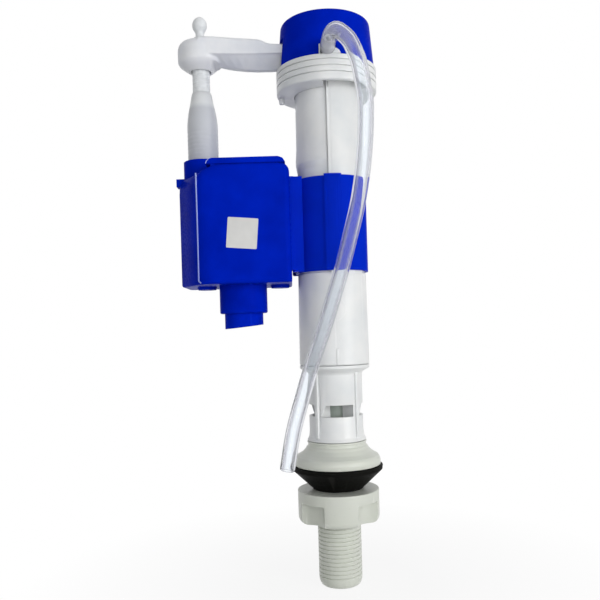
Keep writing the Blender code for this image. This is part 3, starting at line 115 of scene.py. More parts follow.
# How finely the shapes are made: steps and voxels in millimetres, counts, and an angle in degrees
HOSE_STEP = 1.5
SPLITS = 12
ROWS_A_TURN = 16
SCREW_ROWS = 480
LEVER_VOXEL = 0.32
LEVER_ROUNDS = 9
SMOOTH_ANGLE = 38.0

# Threads in millimetres: from where to where they run, and the rows of points that they are cut from
SHANK_THREAD = (-43.6, 10.0)
SHANK_ROWS = (-42.9, 11.3)
SCREW_THREAD = (144.0, 203.0)
SCREW_END = (143.7, 212.9)
SCREW_PITCH = 2.0
SCREW_DEPTH = 0.16

# The lever's swing at rest in degrees, and the pilot nozzle and the pad's gap over it in millimetres
LEVER_OPEN = 12.0
NOZZLE = 1.1
PAD_GAP = 0.3

# The chamber's slanted left corner, the draft of its right side and its roundings, in millimetres
SLANT = (12.0, 19.0)
CHAMBER_DRAFT = 0.6
FRONT_ROUND = 3.0
LEFT_STRETCH = 2.1
REAR_ROUND = 2.0
LEFT_REAR_ROUND = 5.0
TOP_ROUND = 1.8


def linear(code):
    """An sRGB hex colour as linear red, green and blue."""
    values = [int(code[place:place + 2], 16) / 255.0 for place in (1, 3, 5)]
    return tuple(v / 12.92 if v <= 0.04045 else ((v + 0.055) / 1.055) ** 2.4 for v in values)


class FillValveSizes(bpy.types.PropertyGroup):
    thread_pitch: FloatProperty(name="Thread pitch", description="Rise of the shank's thread in one turn",
                                default=0.00195, min=0.001, max=0.004, subtype="DISTANCE", unit="LENGTH")
    thread_depth: FloatProperty(name="Thread depth", description="Depth of the shank's thread",
                                default=0.0006, min=0.0, max=0.001, subtype="DISTANCE", unit="LENGTH")
    hose_radius: FloatProperty(name="Hose radius", description="Outer radius of the refill hose",
                               default=0.0035, min=0.002, max=0.006, subtype="DISTANCE", unit="LENGTH")
    hose_wall: FloatProperty(name="Hose wall", description="Wall thickness of the refill hose",
                             default=0.0011, min=0.0005, max=0.002, subtype="DISTANCE", unit="LENGTH")
    fin_count: IntProperty(name="Fins", description="Upright fins round the outlet column",
                           default=4, min=0, max=12)
    label_side: FloatProperty(name="Label side", description="Side of the blank paper label",
                              default=0.0139, min=0.005, max=0.025, subtype="DISTANCE", unit="LENGTH")
    label_tilt: FloatProperty(name="Label tilt", description="Turn of the label on the chamber's face",
                              default=math.radians(-5.0), subtype="ANGLE", unit="ROTATION")


class FillValveColours(bpy.types.PropertyGroup):
    blue: FloatVectorProperty(name="Blue", description="Cap, chamber and clip", subtype="COLOR",
                              default=linear("#0022BC"), min=0.0, max=1.0)
    white: FloatVectorProperty(name="White", description="Riser, head and outlet column", subtype="COLOR",
                               default=linear("#E6E7E6"), min=0.0, max=1.0)
    # The shank white is set a little darker as painted shade for the bell in the column's shadow
    shank: FloatVectorProperty(name="Shank white", description="Threaded shank, flange and nut",
                               subtype="COLOR", default=linear("#D0D3CA"), min=0.0, max=1.0)
    milky: FloatVectorProperty(name="Milky white", description="Lever, screw and float", subtype="COLOR",
                               default=linear("#ECEDEF"), min=0.0, max=1.0)
    rubber: FloatVectorProperty(name="Rubber", description="Cone gasket and seals", subtype="COLOR",
                                default=linear("#0F0F0E"), min=0.0, max=1.0)


# Material helpers

def add_node(tree, kind, inputs=None, **settings):
    """Add a node with its settings, values and links."""
    node = tree.nodes.new(kind)
    for name, value in settings.items():
        setattr(node, name, value)
    for key, value in (inputs or {}).items():
        socket = node.inputs[key]
        if isinstance(value, bpy.types.NodeSocket):
            tree.links.new(value, socket)
        elif socket.type == "RGBA" and len(value) == 3:
            socket.default_value = (*value, 1.0)
        else:
            socket.default_value = value
    return node


def start_material(name):
    """An empty material's tree, and the piece's own coordinates in millimetres."""
    mat = bpy.data.materials.new(name)
    mat.use_nodes = True
    tree = mat.node_tree
    tree.nodes.clear()
    place = add_node(tree, "ShaderNodeTexCoord").outputs["Object"]
    scaled = add_node(tree, "ShaderNodeVectorMath", {0: place, "Scale": 1.0 / MM}, operation="SCALE")
    finishes[name] = mat
    return tree, scaled.outputs[0]


def moulded_plastic(name, colour, shade, edge_wear_and_highlight_colour, roughness, ripple, glow=0.0, ior=1.50, wear_and_highlight=0.5):
    """Injection-moulded plastic: cloudy colour, edges lighter as rubbed wear and as a painted highlight,
    uneven gloss and a faintly rippled skin.
    """
    tree, place = start_material(name)
    clouds = add_node(tree, "ShaderNodeTexNoise", {"Vector": place, "Scale": 0.07, "Detail": 3.0})
    share = add_node(tree, "ShaderNodeMapRange", {"Value": clouds.outputs["Fac"], "From Min": 0.35,
                                                  "From Max": 0.70})
    base = add_node(tree, "ShaderNodeMix", {"Factor": share.outputs[0], 6: colour, 7: shade},
                    data_type="RGBA")
    # Pointy edges are mixed towards the edge colour: partly rubbed wear, partly a painted highlight
    point = add_node(tree, "ShaderNodeNewGeometry").outputs["Pointiness"]
    rubbed_and_highlit = add_node(tree, "ShaderNodeMapRange", {"Value": point, "From Min": 0.53, "From Max": 0.62,
                                                   "To Max": wear_and_highlight})
    worn_and_highlit = add_node(tree, "ShaderNodeMix", {"Factor": rubbed_and_highlit.outputs[0], 6: base.outputs[2],
                                            7: edge_wear_and_highlight_colour}, data_type="RGBA")
    scuffs = add_node(tree, "ShaderNodeTexNoise", {"Vector": place, "Scale": 0.9, "Detail": 5.0})
    rough = add_node(tree, "ShaderNodeMapRange", {"Value": scuffs.outputs["Fac"], "From Min": 0.3,
                                                  "From Max": 0.7, "To Min": roughness * 0.85,
                                                  "To Max": roughness * 1.25})
    skin = add_node(tree, "ShaderNodeTexNoise", {"Vector": place, "Scale": 0.35, "Detail": 2.0})
    bump = add_node(tree, "ShaderNodeBump", {"Height": skin.outputs["Fac"], "Strength": ripple,
                                             "Distance": 0.0003})
    shader = add_node(tree, "ShaderNodeBsdfPrincipled",
                      {"Base Color": worn_and_highlit.outputs[2], "Roughness": rough.outputs[0],
                       "Normal": bump.outputs[0], "IOR": ior, "Subsurface Weight": glow,
                       "Subsurface Radius": (1.0, 1.0, 1.0), "Subsurface Scale": 2.0 * MM})
    add_node(tree, "ShaderNodeOutputMaterial", {"Surface": shader.outputs[0]})


# Mesh helpers

def soften(points, radius, steps=3, closed=True):
    """Round an outline's corners; a point's third number is its own radius."""
    result = []
    count = len(points)
    for index, point in enumerate(points):
        here = Vector(point[:2])
        own = point[2] if len(point) > 2 else radius
        if own <= 0.0 or (not closed and index in (0, count - 1)):
            result.append(tuple(here))
            continue
        before = Vector(points[index - 1][:2]) - here
        after = Vector(points[(index + 1) % count][:2]) - here
        angle = before.angle(after)
        if angle > math.radians(173.0):
            result.append(tuple(here))
            continue
        reach = min(own / math.tan(angle / 2.0), before.length * 0.48, after.length * 0.48)
        start = here + before.normalized() * reach
        end = here + after.normalized() * reach
        for step in range(steps + 1):
            t = step / steps
            result.append(tuple(start * (1.0 - t) ** 2 + here * 2.0 * t * (1.0 - t) + end * t * t))
    return result


def new_object(name, shape):
    """An object in the scene from a bmesh, its faces pointing outwards."""
    mesh = bpy.data.meshes.new(name)
    bmesh.ops.recalc_face_normals(shape, faces=shape.faces)
    shape.to_mesh(mesh)
    shape.free()
    obj = bpy.data.objects.new(name, mesh)
    bpy.context.scene.collection.objects.link(obj)
    return obj


def revolve(name, points, steps=96, centre=(0.0, 0.0), closed=True):
    """A turned shape; (radius, height) points run down the outer side."""
    shape = bmesh.new()
    rings = []
    for radius, height in points:
        count = 1 if radius < 0.0001 else steps
        rings.append([shape.verts.new(((centre[0] + radius * math.cos(2.0 * math.pi * step / steps)) * MM,
                                       (centre[1] + radius * math.sin(2.0 * math.pi * step / steps)) * MM,
                                       height * MM)) for step in range(count)])
    pairs = list(zip(rings, rings[1:]))
    if closed:
        pairs.append((rings[-1], rings[0]))
    for upper, lower in pairs:
        for step in range(steps):
            after = (step + 1) % steps
            corners = [upper[step % len(upper)], lower[step % len(lower)],
                       lower[after % len(lower)], upper[after % len(upper)]]
            corners = list(dict.fromkeys(corners))
            if len(corners) > 2:
                shape.faces.new(corners)
    return new_object(name, shape)


def prism(name, outline, low, high, upright=False):
    """A thick plate: in XY between two heights, or upright in XZ between two Y."""
    shape = bmesh.new()
    if upright:
        front = [shape.verts.new((x * MM, low * MM, z * MM)) for x, z in outline]
        back = [shape.verts.new((x * MM, high * MM, z * MM)) for x, z in outline]
    else:
        front = [shape.verts.new((x * MM, y * MM, low * MM)) for x, y in outline]
        back = [shape.verts.new((x * MM, y * MM, high * MM)) for x, y in outline]
    shape.faces.new(front)
    shape.faces.new(list(reversed(back)))
    for index in range(len(front)):
        after = (index + 1) % len(front)
        shape.faces.new((front[after], front[index], back[index], back[after]))
    return new_object(name, shape)


def rod(name, radius, start, end, steps=40, end_radius=None):
    """A cylinder or cone between two points."""
    start, end = Vector(start), Vector(end)
    shape = bmesh.new()
    bmesh.ops.create_cone(shape, cap_ends=True, segments=steps, radius1=radius * MM,
                          radius2=(radius if end_radius is None else end_radius) * MM,
                          depth=(end - start).length * MM)
    turn = Vector((0.0, 0.0, 1.0)).rotation_difference(end - start).to_matrix().to_4x4()
    bmesh.ops.transform(shape, matrix=Matrix.Translation((start + end) / 2.0 * MM) @ turn, verts=shape.verts)
    return new_object(name, shape)


def loft(name, rings):
    """A closed body through rings of points that have the same count."""
    shape = bmesh.new()
    loops = [[shape.verts.new(Vector(point) * MM) for point in ring] for ring in rings]
    count = len(loops[0])
    for first, second in zip(loops, loops[1:]):
        for index in range(count):
            after = (index + 1) % count
            shape.faces.new((first[index], first[after], second[after], second[index]))
    shape.faces.new(loops[0])
    shape.faces.new(list(reversed(loops[-1])))
    return new_object(name, shape)


def sector(inner, outer, start, end, steps=24):
    """Plan of a ring segment; degrees from the front towards +X."""
    def at(radius, step):
        angle = math.radians(start + (end - start) * step / steps)
        return (radius * math.sin(angle), -radius * math.cos(angle))
    out = [at(outer, step) for step in range(steps + 1)]
    home = [at(inner, step) for step in range(steps, -1, -1)]
    return out + home


def applied(obj):
    """Turn an object's modifiers into its mesh."""
    bpy.context.view_layer.update()
    graph = bpy.context.evaluated_depsgraph_get()
    mesh = bpy.data.meshes.new_from_object(obj.evaluated_get(graph))
    obj.modifiers.clear()
    obj.data = mesh
    return obj


def merge(obj, tool, operation="UNION"):
    """Join another closed shape to this one, or cut it away, and remove it."""
    change = obj.modifiers.new(operation, "BOOLEAN")
    change.operation = operation
    change.solver = "EXACT"
    change.object = tool
    applied(obj)
    bpy.data.objects.remove(tool)
    return obj


def cut(obj, tool):
    """Cut a closed shape away."""
    return merge(obj, tool, "DIFFERENCE")


def round_edges(obj, width, segments=2, degrees=40.0):
    """Round the edges that are sharper than an angle, as a mould leaves them."""
    change = obj.modifiers.new("Edges", "BEVEL")
    change.width = width * MM
    change.segments = segments
    change.limit_method = "ANGLE"
    change.angle_limit = math.radians(degrees)
    change.use_clamp_overlap = True
    return applied(obj)


def melt(obj, voxel, rounds):
    """Remesh a joined shape and let its inner corners run soft, as a mould's fillets do."""
    change = obj.modifiers.new("Voxels", "REMESH")
    change.mode = "VOXEL"
    change.voxel_size = voxel * MM
    soft = obj.modifiers.new("Soft", "SMOOTH")
    soft.factor = 0.5
    soft.iterations = rounds
    return applied(obj)


def settle(obj, finish, body, *replaced, degrees=SMOOTH_ANGLE):
    """Give a piece its finish and its body, and hide the CAD nodes that it stands for."""
    obj.data.materials.clear()
    obj.data.materials.append(finishes[finish])
    obj.data.shade_smooth()
    obj.data.set_sharp_from_angle(angle=math.radians(degrees))
    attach(obj, body)
    if replaced:
        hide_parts(*replaced)
    return obj


def repaint(finish, *names):
    """Give CAD nodes whose shape is right a finish."""
    for name in names:
        node = nodes[name]
        node.data.materials.clear()
        node.data.materials.append(finishes[finish])


# Geometry Nodes

def tree_with(name, *inputs):
    """A geometry tree with named inputs, and its two end nodes."""
    tree = bpy.data.node_groups.new(name, "GeometryNodeTree")
    tree.interface.new_socket("Geometry", in_out="INPUT", socket_type="NodeSocketGeometry")
    tree.interface.new_socket("Geometry", in_out="OUTPUT", socket_type="NodeSocketGeometry")
    for label, kind in inputs:
        tree.interface.new_socket(label, in_out="INPUT", socket_type=kind)
    return tree, tree.nodes.new("NodeGroupInput"), tree.nodes.new("NodeGroupOutput")


def run_tree(obj, tree, **values):
    """Run a geometry tree on an object and keep the plain mesh."""
    change = obj.modifiers.new(tree.name, "NODES")
    change.node_group = tree
    for item in tree.interface.items_tree:
        if item.in_out == "INPUT" and item.name.replace(" ", "_") in values:
            change[item.identifier] = values[item.name.replace(" ", "_")]
    return applied(obj)


def end_tree(tree, geometry, material, last):
    """Make the copies real and give them their finish."""
    real = add_node(tree, "GeometryNodeRealizeInstances", {"Geometry": geometry})
    painted = add_node(tree, "GeometryNodeSetMaterial", {"Geometry": real.outputs[0], "Material": material})
    tree.links.new(painted.outputs[0], last.inputs[0])


def thread_tree():
    """Sinks a helical groove into an upright turned shape about an axis."""
    tree, start, last = tree_with("Thread", ("Pitch", "NodeSocketFloat"), ("Depth", "NodeSocketFloat"),
                                  ("Low", "NodeSocketFloat"), ("High", "NodeSocketFloat"),
                                  ("Axis X", "NodeSocketFloat"), ("Least radius", "NodeSocketFloat"),
                                  ("Finish", "NodeSocketMaterial"))
    given = start.outputs
    place = add_node(tree, "GeometryNodeInputPosition").outputs[0]
    parts = add_node(tree, "ShaderNodeSeparateXYZ", {0: place}).outputs
    x = add_node(tree, "ShaderNodeMath", {0: parts[0], 1: given["Axis X"]}, operation="SUBTRACT").outputs[0]
    angle = add_node(tree, "ShaderNodeMath", {0: parts[1], 1: x}, operation="ARCTAN2").outputs[0]
    turns = add_node(tree, "ShaderNodeMath", {0: angle, 1: 2.0 * math.pi}, operation="DIVIDE").outputs[0]
    rise = add_node(tree, "ShaderNodeMath", {0: parts[2], 1: given["Pitch"]}, operation="DIVIDE").outputs[0]
    phase = add_node(tree, "ShaderNodeMath", {0: rise, 1: turns}, operation="SUBTRACT").outputs[0]
    fold = add_node(tree, "ShaderNodeMath", {0: phase, 1: 0.5}, operation="PINGPONG").outputs[0]
    groove = add_node(tree, "ShaderNodeMapRange", {"Value": fold, "From Min": 0.16, "From Max": 0.02,
                                                   "To Min": 0.0, "To Max": 1.0},
                      interpolation_type="SMOOTHSTEP").outputs[0]
    above = add_node(tree, "ShaderNodeMath", {0: parts[2], 1: given["Low"]},
                     operation="SUBTRACT").outputs[0]
    under = add_node(tree, "ShaderNodeMath", {0: given["High"], 1: parts[2]},
                     operation="SUBTRACT").outputs[0]
    near = add_node(tree, "ShaderNodeMath", {0: above, 1: under}, operation="MINIMUM").outputs[0]
    fade = add_node(tree, "ShaderNodeMapRange", {"Value": near, "From Min": 0.0,
                                                 "From Max": 0.0015}).outputs[0]
    flat = add_node(tree, "ShaderNodeCombineXYZ", {0: x, 1: parts[1]}).outputs[0]
    radius = add_node(tree, "ShaderNodeVectorMath", {0: flat}, operation="LENGTH").outputs["Value"]
    outer = add_node(tree, "ShaderNodeMath", {0: radius, 1: given["Least radius"]},
                     operation="GREATER_THAN").outputs[0]
    size = add_node(tree, "ShaderNodeMath", {0: groove, 1: fade}, operation="MULTIPLY").outputs[0]
    size = add_node(tree, "ShaderNodeMath", {0: size, 1: outer}, operation="MULTIPLY").outputs[0]
    size = add_node(tree, "ShaderNodeMath", {0: size, 1: given["Depth"]}, operation="MULTIPLY").outputs[0]
    inward = add_node(tree, "ShaderNodeMath", {0: size, 1: -1.0}, operation="MULTIPLY").outputs[0]
    away = add_node(tree, "ShaderNodeVectorMath", {0: flat}, operation="NORMALIZE").outputs[0]
    shift = add_node(tree, "ShaderNodeVectorMath", {0: away, "Scale": inward}, operation="SCALE").outputs[0]
    moved = add_node(tree, "GeometryNodeSetPosition", {"Geometry": given["Geometry"], "Offset": shift})
    end_tree(tree, moved.outputs[0], given["Finish"], last)
    return tree


def around_tree():
    """Repeats a shape that stands on +X about the valve's axis."""
    tree, start, last = tree_with("Around the axis", ("Count", "NodeSocketInt"),
                                  ("Start", "NodeSocketFloat"), ("Finish", "NodeSocketMaterial"))
    given = start.outputs
    points = add_node(tree, "GeometryNodePoints", {"Count": given["Count"]})
    index = add_node(tree, "GeometryNodeInputIndex").outputs[0]
    part = add_node(tree, "ShaderNodeMath", {0: index, 1: given["Count"]}, operation="DIVIDE").outputs[0]
    angle = add_node(tree, "ShaderNodeMath", {0: part, 1: 2.0 * math.pi, 2: given["Start"]},
                     operation="MULTIPLY_ADD").outputs[0]
    turn = add_node(tree, "ShaderNodeCombineXYZ", {2: angle}).outputs[0]
    copies = add_node(tree, "GeometryNodeInstanceOnPoints",
                      {"Points": points.outputs[0], "Instance": given["Geometry"], "Rotation": turn})
    end_tree(tree, copies.outputs[0], given["Finish"], last)
    return tree


# Hose

def hose_points(step):
    """Even points on a smooth curve through the hose's route."""
    route = [Vector(point) for point in HOSE_ROUTE]
    dense = []
    last = len(route) - 1
    for index in range(last):
        before, start = route[max(index - 1, 0)], route[index]
        end, after = route[index + 1], route[min(index + 2, last)]
        for part in range(SPLITS):
            t = part / SPLITS
            dense.append(0.5 * (2.0 * start + (end - before) * t
                                + (2.0 * before - 5.0 * start + 4.0 * end - after) * t * t
                                + (3.0 * start - before - 3.0 * end + after) * t ** 3))
    dense.append(route[-1])
    total = sum((b - a).length for a, b in zip(dense, dense[1:]))
    count = round(total / step)
    result = [dense[0]]
    walked = 0.0
    for a, b in zip(dense, dense[1:]):
        length = (b - a).length
        while len(result) < count and walked + length >= len(result) * total / count:
            result.append(a.lerp(b, (len(result) * total / count - walked) / length))
        walked += length
    result.append(dense[-1])
    return result, total


def tube(name, points, outer, inner, steps=28):
    """A hollow tube along points, with rounded ends, as one closed mesh."""
    shape = bmesh.new()
    rings = []
    side = Vector((1.0, 0.0, 0.0))
    last = len(points) - 1
    lip = (outer - inner) / 2.0
    middle = (outer + inner) / 2.0
    for index, point in enumerate(points):
        ahead = (points[min(index + 1, last)] - points[max(index - 1, 0)]).normalized()
        side = (side - ahead * side.dot(ahead)).normalized()
        across = ahead.cross(side)
        rings.append((point, ahead, side, across))

    def ring(frame_at, radius, along):
        point, ahead, side_at, across_at = frame_at
        return [shape.verts.new(point + ahead * along + (side_at * math.cos(2.0 * math.pi * step / steps)
                                + across_at * math.sin(2.0 * math.pi * step / steps)) * radius)
                for step in range(steps)]

    loops = [ring(rings[0], outer - lip * 0.3, 0.0)]
    loops += [ring(item, outer, 0.0) for item in rings[1:-1]]
    loops += [ring(rings[-1], outer - lip * 0.3, 0.0), ring(rings[-1], middle, lip * 0.5),
              ring(rings[-1], inner + lip * 0.3, 0.0)]
    loops += [ring(item, inner, 0.0) for item in reversed(rings[1:-1])]
    loops += [ring(rings[0], inner + lip * 0.3, 0.0)]
    for upper, lower in zip(loops, loops[1:] + loops[:1]):
        for step in range(steps):
            after = (step + 1) % steps
            shape.faces.new((upper[step], lower[step], lower[after], upper[after]))
    return new_object(name, shape)


class FILLVALVE_OT_finishes(bpy.types.Operator):
    """Make the materials of all pieces"""
    bl_idname = "fillvalve.finishes"
    bl_label = "Finishes"

    def execute(self, context):
        hues = context.scene.fill_valve_colours
        # Polypropylene, injection moulded: satin, a little waxy, cool grey in the thick places
        moulded_plastic("riser_polypropylene", tuple(hues.white), linear("#DCDFE0"), linear("#F0F1F1"),
                        0.34, 0.10, glow=0.12)
        # Acetal, injection moulded: warm white that leans to green, and soft gloss; the white is set a
        # little darker as painted shade for the bell in the column's shadow
        moulded_plastic("shank_acetal", tuple(hues.shank), linear("#CFD3C8"), linear("#E6E8E0"),
                        0.32, 0.12, glow=0.15)
        # Natural nylon: milky, lets light into its edges, and dull where it was handled
        moulded_plastic("milky_nylon", tuple(hues.milky), linear("#DDE0E6"), linear("#F4F4F5"),
                        0.38, 0.12, glow=0.45, wear_and_highlight=0.1)
        # Polyethylene, extruded: the inner tube's own grey-green, made darker as painted shade for the
        # column's dark inside
        moulded_plastic("tube_polyethylene", linear("#A4AEA6"), linear("#98A29A"), linear("#B4BCB4"),
                        0.40, 0.10, glow=0.1)
        # ABS with blue masterbatch, moulded: deep even colour; the photograph shows next to no gloss on it,
        # so its index is far below the usual 1.53
        moulded_plastic("blue_abs", tuple(hues.blue), linear("#001CA8"), linear("#0A30CC"),
                        0.26, 0.06, ior=1.03)
        # The same blue made pale, as a painted highlight on the raised edge beads
        moulded_plastic("worn_blue_edge", linear("#93A3E2"), linear("#7486DA"), linear("#B8C2F0"),
                        0.40, 0.10, ior=1.40)
        # EPDM rubber, pressed: near black, dull, with a grey bloom from the mould and a weak sheen
        moulded_plastic("ring_rubber", tuple(hues.rubber), linear("#161614"), linear("#2A2927"),
                        0.50, 0.25, ior=1.10)
        self.make_hose_pvc()
        self.make_stem_wall()
        self.make_paper()
        return {"FINISHED"}

    def make_hose_pvc(self):
        """Soft clear PVC, extruded: a clear bore between two greyer walls, a painted dark line along its
        outline for the refraction at its edges, hazy where it is stretched.

        Its index is lowered to 1.12, so that its walls bend what lies behind as little as they should."""
        tree, place = start_material("hose_pvc")
        mist = add_node(tree, "ShaderNodeTexNoise", {"Vector": place, "Scale": 0.12, "Detail": 2.0})
        rough = add_node(tree, "ShaderNodeMapRange", {"Value": mist.outputs["Fac"], "To Min": 0.02,
                                                      "To Max": 0.10})
        facing = add_node(tree, "ShaderNodeLayerWeight", {"Blend": 0.5}).outputs["Facing"]
        wall = add_node(tree, "ShaderNodeMapRange", {"Value": facing, "From Min": 0.06, "From Max": 0.20},
                        interpolation_type="SMOOTHSTEP").outputs[0]
        # Painted shade: the outline turns dark, standing in for the refraction at the tube's edges
        rim = add_node(tree, "ShaderNodeMapRange", {"Value": facing, "From Min": 0.70,
                                                    "From Max": 0.95}).outputs[0]
        tint = add_node(tree, "ShaderNodeMix", {"Factor": wall, 6: linear("#F8FBFE"), 7: linear("#E4E5EA")},
                        data_type="RGBA")
        tint = add_node(tree, "ShaderNodeMix", {"Factor": rim, 6: tint.outputs[2], 7: linear("#7E838A")},
                        data_type="RGBA")
        parts = add_node(tree, "ShaderNodeSeparateXYZ", {0: place}).outputs
        high = add_node(tree, "ShaderNodeMapRange", {"Value": parts[2], "From Min": 195.0,
                                                     "From Max": 199.0}).outputs[0]
        inner = add_node(tree, "ShaderNodeMapRange", {"Value": parts[1], "From Min": -40.0,
                                                      "From Max": -30.0}).outputs[0]
        stretched = add_node(tree, "ShaderNodeMath", {0: high, 1: inner}, operation="MULTIPLY").outputs[0]
        clear = add_node(tree, "ShaderNodeMapRange", {"Value": wall, "To Min": 0.975,
                                                      "To Max": 0.88}).outputs[0]
        loss = add_node(tree, "ShaderNodeMath", {0: stretched, 1: 0.45}, operation="MULTIPLY").outputs[0]
        clear = add_node(tree, "ShaderNodeMath", {0: clear, 1: loss}, operation="SUBTRACT").outputs[0]
        shader = add_node(tree, "ShaderNodeBsdfPrincipled",
                          {"Base Color": tint.outputs[2], "Roughness": rough.outputs[0], "IOR": 1.12,
                           "Transmission Weight": clear, "Coat Weight": 0.35, "Coat Roughness": 0.06})
        add_node(tree, "ShaderNodeOutputMaterial", {"Surface": shader.outputs[0]})

    def make_stem_wall(self):
        """Polyethylene in a thick wall: the same milk, greyer, lighter where the mouth is thin, and darker
        towards the bottom as painted shadow.
        """
        tree, place = start_material("stem_polyethylene")
        clouds = add_node(tree, "ShaderNodeTexNoise", {"Vector": place, "Scale": 0.07, "Detail": 3.0})
        thick = add_node(tree, "ShaderNodeMix", {"Factor": clouds.outputs["Fac"], 6: linear("#CBCED3"),
                                                 7: linear("#C0C3C9")}, data_type="RGBA")
        height = add_node(tree, "ShaderNodeSeparateXYZ", {0: place}).outputs[2]
        thin = add_node(tree, "ShaderNodeMapRange", {"Value": height, "From Min": 184.5, "From Max": 188.0},
                        interpolation_type="SMOOTHSTEP")
        # Painted shadow: the wall turns darker towards the bottom, near the collar
        painted_shadow_low = add_node(tree, "ShaderNodeMapRange", {"Value": height, "From Min": 178.0, "From Max": 158.0,
                                                     "To Max": 0.55})
        thick = add_node(tree, "ShaderNodeMix", {"Factor": painted_shadow_low.outputs[0], 6: thick.outputs[2],
                                                 7: linear("#A2A5B1")}, data_type="RGBA")
        milk = add_node(tree, "ShaderNodeMix", {"Factor": thin.outputs[0], 6: thick.outputs[2],
                                                7: linear("#E0E3E5")}, data_type="RGBA")
        scuffs = add_node(tree, "ShaderNodeTexNoise", {"Vector": place, "Scale": 0.9, "Detail": 5.0})
        rough = add_node(tree, "ShaderNodeMapRange", {"Value": scuffs.outputs["Fac"], "To Min": 0.30,
                                                      "To Max": 0.46})
        bump = add_node(tree, "ShaderNodeBump", {"Height": scuffs.outputs["Fac"], "Strength": 0.08,
                                                 "Distance": 0.0003})
        shader = add_node(tree, "ShaderNodeBsdfPrincipled",
                          {"Base Color": milk.outputs[2], "Roughness": rough.outputs[0],
                           "Normal": bump.outputs[0], "IOR": 1.51, "Subsurface Weight": 0.45,
                           "Subsurface Radius": (1.0, 1.0, 1.0), "Subsurface Scale": 3.0 * MM})
        add_node(tree, "ShaderNodeOutputMaterial", {"Surface": shader.outputs[0]})

    def make_paper(self):
        """Coated paper label: flat off-white with fibres and a little grime."""
        tree, place = start_material("paper_label")
        fibres = add_node(tree, "ShaderNodeTexNoise", {"Vector": place, "Scale": 3.0, "Detail": 6.0})
        grime = add_node(tree, "ShaderNodeTexNoise", {"Vector": place, "Scale": 0.15, "Detail": 3.0})
        tone = add_node(tree, "ShaderNodeMix", {"Factor": grime.outputs["Fac"], 6: linear("#DCDCDA"),
                                                7: linear("#C8C8C6")}, data_type="RGBA")
        bump = add_node(tree, "ShaderNodeBump", {"Height": fibres.outputs["Fac"], "Strength": 0.2,
                                                 "Distance": 0.0001})
        shader = add_node(tree, "ShaderNodeBsdfPrincipled", {"Base Color": tone.outputs[2],
                                                             "Roughness": 0.6, "Normal": bump.outputs[0]})
        add_node(tree, "ShaderNodeOutputMaterial", {"Surface": shader.outputs[0]})


class FILLVALVE_OT_stage(bpy.types.Operator):
    """Set up the camera, the lamps and the white floor"""
    bl_idname = "fillvalve.stage"
    bl_label = "Camera, lamps and floor"

    def execute(self, context):
        scene = context.scene
        scene.view_settings.view_transform = "Standard"
        data = bpy.data.cameras.new("photo_camera")
        data.sensor_width = CAMERA_SENSOR
        data.lens = CAMERA_LENS
        data.shift_y = CAMERA_SHIFT
        data.clip_start = 0.01
        camera = bpy.data.objects.new("photo_camera", data)
        scene.collection.objects.link(camera)
        lean = Matrix.Rotation(CAMERA_LEAN, 4, "Z")
        camera.matrix_world = (Matrix.Translation(CAMERA_PLACE)
                               @ Matrix.Rotation(math.radians(90.0), 4, "X") @ lean)
        scene.camera = camera
        for lamp in LAMPS:
            self.add_lamp(*lamp)
        self.make_world(scene)
        self.make_floor()
        return {"FINISHED"}

    def add_lamp(self, name, place, size, watts):
        """A square lamp that looks at the middle of the valve."""
        data = bpy.data.lights.new(name, "AREA")
        data.size = size
        data.energy = watts
        lamp = bpy.data.objects.new(name, data)
        bpy.context.scene.collection.objects.link(lamp)
        lamp.location = place
        lamp.rotation_euler = (LAMP_AIM - Vector(place)).to_track_quat("-Z", "Y").to_euler()

    def seen_directly(self, tree):
        """One where the eye, a reflection or the clear hose sees the background, and zero for its light."""
        path = add_node(tree, "ShaderNodeLightPath").outputs
        seen = add_node(tree, "ShaderNodeMath", {0: path["Is Camera Ray"], 1: path["Is Transmission Ray"]},
                        operation="MAXIMUM")
        return add_node(tree, "ShaderNodeMath", {0: seen.outputs[0], 1: path["Is Glossy Ray"]},
                        operation="MAXIMUM").outputs[0]

    def make_world(self, scene):
        """A white surround that lights the valve with a plain share of its strength."""
        world = bpy.data.worlds.new("studio")
        scene.world = world
        world.use_nodes = True
        tree = world.node_tree
        tree.nodes.clear()
        strength = add_node(tree, "ShaderNodeMapRange", {"Value": self.seen_directly(tree),
                                                         "To Min": WORLD_LIGHT, "To Max": 1.0})
        light = add_node(tree, "ShaderNodeBackground", {"Color": (1.0, 1.0, 1.0),
                                                        "Strength": strength.outputs[0]})
        add_node(tree, "ShaderNodeOutputWorld", {"Surface": light.outputs[0]})

    def make_floor(self):
        """A pale floor that the camera sees as white, with a share of the real light for the shadow."""
        shape = bmesh.new()
        bmesh.ops.create_grid(shape, x_segments=1, y_segments=1, size=FLOOR_HALF)
        floor = new_object("floor", shape)
        floor.location.z = cad_box[0].z - FLOOR_GAP
        tree, place = start_material("floor_white")
        plain = add_node(tree, "ShaderNodeBsdfDiffuse", {"Color": (0.80, 0.80, 0.80)})
        white = add_node(tree, "ShaderNodeEmission", {"Color": (1.0, 1.0, 1.0), "Strength": 1.0})
        away = add_node(tree, "ShaderNodeVectorMath", {0: place}, operation="LENGTH")
        near = add_node(tree, "ShaderNodeMapRange", {"Value": away.outputs["Value"], "From Min": 40.0,
                                                     "From Max": 160.0, "To Min": 0.88, "To Max": 1.0})
        share = add_node(tree, "ShaderNodeMath", {0: self.seen_directly(tree), 1: near.outputs[0]},
                         operation="MULTIPLY")
        mix = add_node(tree, "ShaderNodeMixShader", {0: share.outputs[0], 1: plain.outputs[0],
                                                     2: white.outputs[0]})
        add_node(tree, "ShaderNodeOutputMaterial", {"Surface": mix.outputs[0]})
        floor.data.materials.append(finishes["floor_white"])


